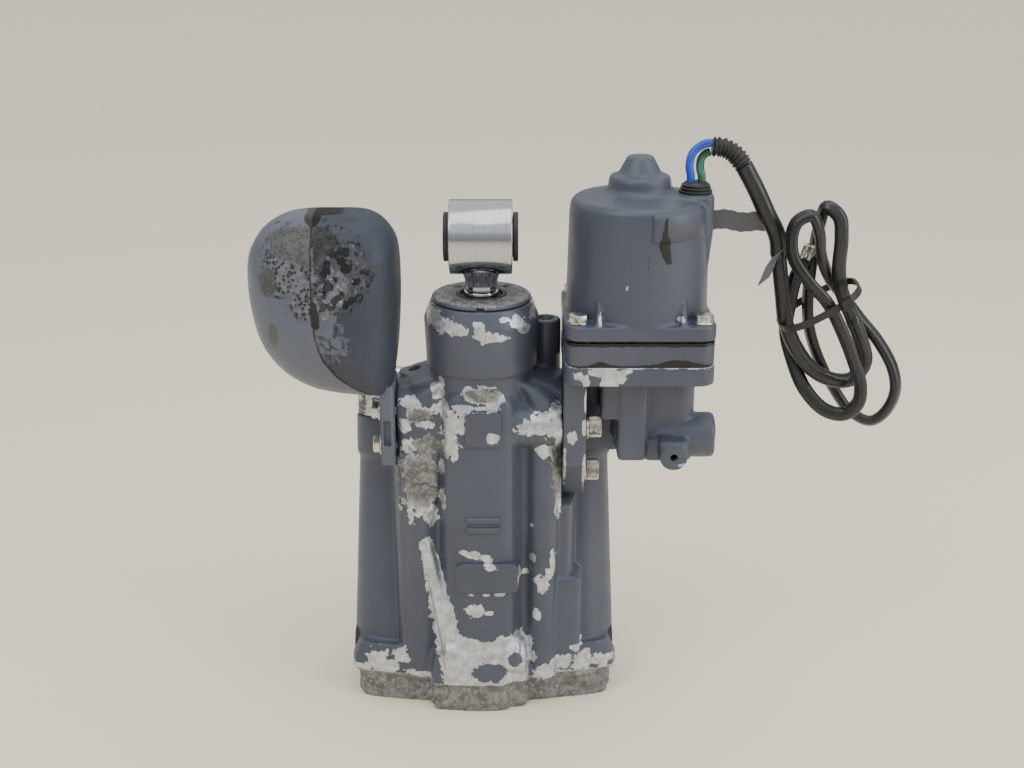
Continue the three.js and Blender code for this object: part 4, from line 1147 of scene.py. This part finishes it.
BLUE_ROUTE = [(119.4, -4, 312), (119.4, -4, 322), (119.4, -4, 330), (118.5, -3.5, 336), (120.5, -2, 343),
              (127, 0, 347.4), (131.3, 0.5, 348)]
GREEN_ROUTE = [(125.6, -4, 312), (125.6, -4, 322), (125.6, -4, 330), (124.8, -2, 334), (125.6, 1.2, 338.8),
               (128.2, 2.4, 341.6), (130.6, 2.7, 342.5)]
RIBBED_ROUTE = [(132.2, 1.5, 345.6), (138, 2, 345), (144.5, 2, 341.4), (149.5, 2, 335.6)]
HANK_ROUTE = [
    (150, 2, 335), (158, 2, 321), (165, 2, 307), (172, 2, 293), (174, 2, 278), (177, 2, 259), (180, 2, 242),
    (187, 2, 226), (198, 2, 212), (211, 3, 205), (223, 5, 205), (230, 6, 215), (226, 4, 230), (219, 3, 245),
    (212, 2, 260), (209, 1, 274), (209, 1, 293), (207, 2, 305), (200, 5, 310), (198, 10, 300), (196, 14, 278),
    (195, 15, 255), (197, 15, 235), (204, 15, 215), (215, 14, 195), (226, 11, 181), (237, 7, 177), (245, 6, 183),
    (250, 6, 196), (248, 8, 210), (239, 12, 226), (228, 16, 239), (216, 16, 254), (205, 8, 268), (197, -3, 284),
    (194, -8, 298), (189, -9, 308), (181, -9, 305), (178, -9, 296), (180, -10, 283), (189, -12, 270),
    (201, -12, 257), (210, -12, 241), (219, -12, 221), (224, -12, 207), (224, -9, 194), (217, -5, 186),
    (206, -3, 188), (194, 2, 200), (187, 11, 217), (183, 14, 233), (184, 14, 249), (186, 12, 265), (190, 9, 278),
]
SHEATH_END = 58
TAPE_END = 205
TAPE_LAP = 7.5
RIB_PITCH = 2.6


def smooth_route(points, step=1.5):
    """Evenly spaced points on a centripetal curve through the route."""
    p = [np.array(q, float) for q in points]
    p = [2 * p[0] - p[1], *p, 2 * p[-1] - p[-2]]
    dense_points = []
    for a, b, c, d in zip(p, p[1:], p[2:], p[3:]):
        t0 = 0.0
        t1 = t0 + math.sqrt(np.linalg.norm(b - a))
        t2 = t1 + math.sqrt(np.linalg.norm(c - b))
        t3 = t2 + math.sqrt(np.linalg.norm(d - c))
        for t in np.linspace(t1, t2, 12, endpoint=False):
            a1 = (t1 - t) / (t1 - t0) * a + (t - t0) / (t1 - t0) * b
            a2 = (t2 - t) / (t2 - t1) * b + (t - t1) / (t2 - t1) * c
            a3 = (t3 - t) / (t3 - t2) * c + (t - t2) / (t3 - t2) * d
            b1 = (t2 - t) / (t2 - t0) * a1 + (t - t0) / (t2 - t0) * a2
            b2 = (t3 - t) / (t3 - t1) * a2 + (t - t1) / (t3 - t1) * a3
            dense_points.append((t2 - t) / (t2 - t1) * b1 + (t - t1) / (t2 - t1) * b2)
    dense_points.append(p[-2])
    line = np.array(dense_points)
    run = np.concatenate([[0], np.cumsum(np.linalg.norm(np.diff(line, axis=0), axis=1))])
    stations = np.linspace(0, run[-1], max(4, int(run[-1] / step)))
    return np.stack([np.interp(stations, run, line[:, k]) for k in range(3)], 1), stations


def tube(line, section, start_up=(0, 1, 0)):
    """A closed tube: section(k) gives the (side, up) outline at station k."""
    tangents = np.gradient(line, axis=0)
    tangents /= np.linalg.norm(tangents, axis=1)[:, None]
    up = np.array(start_up, float)
    rings = []
    for k, (c, t) in enumerate(zip(line, tangents)):
        up = up - t * np.dot(up, t)
        up /= np.linalg.norm(up)
        side = np.cross(t, up)
        rings.append([tuple(c + side * a + up * b) for a, b in section(k)])
    return loft(rings)


def oval(width, height, n=28, groove=0.0):
    out = []
    for k in range(n):
        a = math.tau * k / n
        dip = 1 - groove * math.exp(-((math.cos(a)) / 0.25) ** 2)
        out.append((width / 2 * math.cos(a), height / 2 * math.sin(a) * dip))
    return out


def lead_wire(name, node, route, looks, look):
    line, run = smooth_route(route, 1.0)
    wire = mesh_object(name, *tube(line, lambda k: oval(4.8, 4.8, 24)))
    finish_piece(wire, looks[look], replaces=[node])
    return wire


def lead(looks):
    line, run = smooth_route(RIBBED_ROUTE, 0.5)
    widths = 2 * (5.1 + 0.7 * np.sin(run / RIB_PITCH * math.tau))
    sleeve = mesh_object("lead_ribbed_sleeve", *tube(line, lambda k: oval(widths[k], widths[k], 36)))
    finish_piece(sleeve, looks["rubber"], replaces=["lead_corrugated_tube"])
    lead_wire("wire_blue", "lead_wire_blue", BLUE_ROUTE, looks, "blue_wire")
    lead_wire("wire_green", "lead_wire_green", GREEN_ROUTE, looks, "green_wire")
    line, run = smooth_route(HANK_ROUTE, 1.2)

    def section(k):
        s = run[k]
        if s < SHEATH_END:
            return oval(10.4, 9.6)
        if s < TAPE_END:
            wrap = 0.25 * ((s / TAPE_LAP) % 1.0)
            return oval(9.0 + wrap, 8.6 + wrap)
        return oval(8.6, 6.6, groove=0.12)

    cable = mesh_object("lead_cable_hank", *tube(line, section))
    finish_piece(cable, looks["cable"], replaces=["lead_cable"])
    tie = zip_tie(looks)
    ends = terminals(looks, line)
    tape = tapes(looks)
    grommet(looks)


def zip_tie(looks):
    """A strap drawn round the bundle, higher at the side away from the motor, with its lock in front."""
    a, b, c = 25.5, 20.5, Vector((199, 2.5, 252))
    turn = Euler((0, -0.52, 0)).to_matrix()
    loop = []
    for t in np.linspace(0, math.tau, 121)[:-1]:
        u, v = math.cos(t), math.sin(t)
        loop.append(c + turn @ Vector((a * math.copysign(abs(u) ** 0.8, u), b * math.copysign(abs(v) ** 0.8, v), 0)))
    up = turn @ Vector((0, 0, 1))
    points, faces, n = [], [], len(loop)
    for p in loop:
        out = (p - c).normalized()
        for d, h in ((-0.6, -2.1), (0.6, -2.1), (0.6, 2.1), (-0.6, 2.1)):
            points.append(tuple(p + out * d + up * h))
    for k in range(n):
        for i in range(4):
            j, m = (i + 1) % 4, (k + 1) % n
            faces.append((m * 4 + i, m * 4 + j, k * 4 + j, k * 4 + i))
    lock = placed(slab(-3.4, 3.4, -2.4, 2.4, 0.8, -3.2, 3.2, 0.5), (0, -0.52, 0),
                  tuple(loop[99] + Vector((0, -2.2, 0))))
    tie = mesh_object("lead_tie", *joined((points, faces), lock))
    finish_piece(tie, looks["rubber"], replaces=["lead_zip_tie"], smooth=False)
    return tie


def terminals(looks, line):
    end, before = Vector(line[-1]), Vector(line[-6])
    along = (end - before).normalized()
    rotation = Vector((0, 0, 1)).rotation_difference(along).to_euler()
    out = []
    for k, offset in enumerate((-2.0, 2.0)):
        side = along.cross(Vector((0, 1, 0))).normalized() * offset
        shape = turned([(0, 0), (1.7, 0), (1.7, 3), (2.1, 3.4), (2.1, 6.5), (1.9, 8.6), (1.2, 9.8), (0, 10)], 32, 0.3)
        pin = mesh_object(f"lead_terminal_{k + 1}", *placed(shape, tuple(rotation), tuple(end + along * 0.3 + side)))
        finish_piece(pin, looks["zinc"], replaces=["lead_terminal_one"] if k == 0 else ())
        out.append(pin)
    return out


def ribbon(name, line, width, thick, up, looks):
    """A strip of tape along a line, as wide as width along up."""
    points, faces = [], []
    for k, p in enumerate(line):
        a = Vector(line[min(k + 1, len(line) - 1)]) - Vector(line[max(k - 1, 0)])
        face = a.normalized().cross(Vector(up)).normalized() * thick / 2
        w = Vector(up) * width / 2 * (1 + 0.04 * math.sin(k * 1.7))
        for d, h in ((-1, -1), (1, -1), (1, 1), (-1, 1)):
            points.append(tuple(Vector(p) + face * d + w * h))
    for k in range(len(line) - 1):
        for i in range(4):
            j = (i + 1) % 4
            faces.append((k * 4 + i, k * 4 + j, (k + 1) * 4 + j, (k + 1) * 4 + i))
    last = (len(line) - 1) * 4
    faces += [(3, 2, 1, 0), (last, last + 1, last + 2, last + 3)]
    tape = mesh_object(name, points, faces)
    return finish_piece(tape, looks["tape"], smooth=False)


def tapes(looks):
    strap, _ = smooth_route([(133.5, 10, 301), (142, 9.6, 302), (152, 10.2, 300), (163, 9, 301), (169.5, 8, 300)], 1.5)
    strap = ribbon("lead_strap_tape", strap, 11.5, 0.6, (0.05, 0, 1), looks)
    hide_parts("lead_strap")
    tail, _ = smooth_route([(172, -3.4, 285), (168.5, -4.6, 280), (166.5, -4.4, 274), (164.5, -3.6, 268)], 1.2)
    tail = ribbon("lead_tape_tail", tail, 9, 0.6, (0.75, 0.1, 0.6), looks)
    return [strap, tail]


def grommet(looks):
    shape = turned([(0, 312), (6, 312), (6, 320.5), (9.6, 321.1), (9.6, 322), (8.2, 322.4), (8.8, 323.2), (8.8, 323.8),
                    (7.7, 324.2), (8.2, 324.9), (8.2, 325.4), (7.2, 325.8), (6.4, 326.8), (0, 326.8)], 64, 0.25)
    piece = mesh_object("lead_rubber_boot", *placed(shape, move=(122.5, -4, 0)))
    carve(piece, bar_z(2.6, 300, 340, 119.4, -4, 0.1, 40), bar_z(2.6, 300, 340, 125.6, -4, 0.1, 40))
    finish_piece(piece, looks["rubber"], replaces=["lead_grommet"], smooth=False)
    shade_by_angle(piece, 45)


# ---------- looks ----------


def tank_look():
    """Sprayed plastic whose paint has bubbled: fine pits left of the weld, coarse torn ones right of it, with a
    painted highlight on the coarse crust's ridges.
    """
    m, tree, shader = material("tank_paint")
    g = Graph(tree)
    islands = g.noise(230, 8, 0.7, distortion=0.6)
    spread = g.math("MULTIPLY", g.math("SUBTRACT", islands, 0.5), 2.6)
    edge = g.math("ADD", g.field("wear"), spread)
    worn = g.ramp(edge, 0.1, 0.16)
    jitter = g.math("MULTIPLY", g.math("SUBTRACT", g.noise(150, 5, 0.6), 0.5), 1.1)
    fine = g.ramp(g.math("ADD", g.cells(430), jitter), 0.34, 0.44, 1, 0)
    coarse = g.ramp(g.math("ADD", g.cells(190), g.math("MULTIPLY", jitter, 1.5)), 0.42, 0.5, 1, 0)
    right = g.ramp(g.axis("X"), -0.094, -0.084)
    pits = g.blend(right, fine, coarse)
    net = g.mix(g.ramp(g.noise(420, 5, 0.6), 0.35, 0.65), (0.085, 0.094, 0.115), (0.135, 0.147, 0.172))
    # painted highlight: pale streaks on the ridges of the coarse crust, right of the weld
    ridge_highlight = g.math("MULTIPLY", g.ramp(g.noise(300, 6, 0.65), 0.56, 0.66), right)
    net = g.mix(ridge_highlight, net, (0.30, 0.32, 0.36))
    crust = g.mix(pits, net, (0.020, 0.021, 0.024))
    smear = g.ramp(g.math("ADD", g.field("smear"), g.math("MULTIPLY", spread, 0.5)), 0.0, 0.15, 0, 0.85)
    paint = g.mix(g.ramp(g.noise(14, 5, 0.6), 0.3, 0.7), (0.074, 0.088, 0.122), (0.094, 0.110, 0.148))
    colour = g.mix(smear, g.mix(worn, paint, crust), (0.066, 0.067, 0.067))
    # near-black along the weld seam and the neck joint, with painted shade down the tank's right-hand face
    line = g.math("ADD", g.field("dark"), g.math("MULTIPLY", g.math("SUBTRACT", g.noise(170, 7, 0.65), 0.5), 0.6))
    g.link(g.mix(g.ramp(line, 0.0, 0.12), colour, (0.012, 0.012, 0.013)), shader.inputs["Base Color"])
    g.link(g.math("ADD", g.ramp(g.noise(60, 6, 0.6), 0.3, 0.7, 0.36, 0.46), g.math("MULTIPLY", worn, 0.08)),
           shader.inputs["Roughness"])
    depth = g.math("MULTIPLY", worn, g.math("SUBTRACT", g.math("MULTIPLY", g.noise(300, 6, 0.65), 0.8), pits))
    normal = g.bump(depth, 0.0008, 0.9)
    normal = g.bump(g.noise(650, 3, 0.6), 0.00006, 0.4, normal)
    g.link(normal, shader.inputs["Normal"])
    return m


def motor_look():
    """The chipped paint, with runs and smears of black sealant, and black lines painted as the shade in gaps."""
    m = chipped_paint("motor_paint")
    tree = m.node_tree
    shader = tree.nodes["Principled BSDF"]
    g = Graph(tree)
    ragged = g.math("MULTIPLY", g.math("SUBTRACT", g.noise(190, 7, 0.6), 0.5), 1.3)
    # black sealant, and painted shade in the gaps along the pad and the foot joint
    smear = g.ramp(g.math("ADD", g.field("black_marks_and_gap_shade"), ragged), 0.1, 0.16)
    before = shader.inputs["Base Color"].links[0].from_socket
    g.link(g.mix(smear, before, (0.004, 0.004, 0.005)), shader.inputs["Base Color"])
    lump = g.bump(smear, 0.0009, 0.8, shader.inputs["Normal"].links[0].from_socket)
    g.link(lump, shader.inputs["Normal"])
    return m


def make_looks():
    return {
        "paint": chipped_paint("chipped_paint"),
        "motor": motor_look(),
        "retainer": chipped_paint("retainer_metal"),
        "tank": tank_look(),
        "eye": machined("eye_machined", (0.52, 0.53, 0.56), 0.15, (1, 0.02, 0.02), 1600, dirt_at=0.7, depth=0.000008),
        "chrome": machined("chromed_rod", (0.78, 0.79, 0.81), 0.08, (0.1, 0.1, 1), 700, dirt_at=0.7, depth=0.00001),
        "zinc": machined("zinc_plated", (0.62, 0.61, 0.58), 0.3, scale=420, dirt=(0.2, 0.18, 0.15), dirt_at=0.52),
        "steel": machined("plain_steel", (0.55, 0.56, 0.57), 0.3),
        "dark_steel": machined("dark_steel", (0.22, 0.23, 0.24), 0.4),
        "alloy": machined("machined_alloy", (0.66, 0.67, 0.69), 0.32),
        "copper": machined("enamelled_copper", (0.72, 0.36, 0.2), 0.3),
        "brass": machined("brass", (0.72, 0.55, 0.28), 0.3),
        "rubber": moulded("black_rubber", (0.011, 0.011, 0.012), 0.48),
        "plastic": moulded("brush_plate_plastic", (0.04, 0.042, 0.046), 0.5),
        "cable": moulded("cable_jacket", (0.010, 0.0105, 0.012), 0.3, 380, 0.00012, dusty=0.75),
        "tape": moulded("grey_tape", (0.065, 0.072, 0.082), 0.4, 300, 0.0002, dusty=0.6),
        "blue_wire": moulded("blue_wire_jacket", (0.010, 0.045, 0.36), 0.32, dusty=0.8),
        "green_wire": moulded("green_wire_jacket", (0.008, 0.075, 0.042), 0.4, dusty=0.55),
    }


def inner_nodes(looks):
    """CAD nodes inside the unit keep their shapes and get the finish of their slot."""
    slots = {s["node"]: s["material_slot"] for s in frame["record"]["subparts"]}
    for name, node in frame["nodes"].items():
        if node.hide_render:
            continue
        node.data.materials.clear()
        node.data.materials.append(looks[slots[name]])


def keep_inside(*names):
    """Takes off the last fraction of a millimetre by which roughened skins pass the object's box."""
    low, high = (np.array([float(c) for c in corner]) for corner in cad_box)
    for name in names:
        mesh = bpy.data.objects[name].data
        points = np.empty(len(mesh.vertices) * 3)
        mesh.vertices.foreach_get("co", points)
        mesh.vertices.foreach_set("co", np.clip(points.reshape(-1, 3), low, high).ravel())


def main():
    camera()
    studio()
    looks = make_looks()
    lead(looks)
    floor()
    casting(looks["paint"])
    retainer(looks)
    rod_and_eye(looks)
    trim_rods(looks)
    lower_bushes(looks)
    tank(looks)
    motor(looks)
    pump(looks)
    inner_nodes(looks)
    keep_inside("tank_half_outer_side", "lead_cable_hank", "casting")


main()
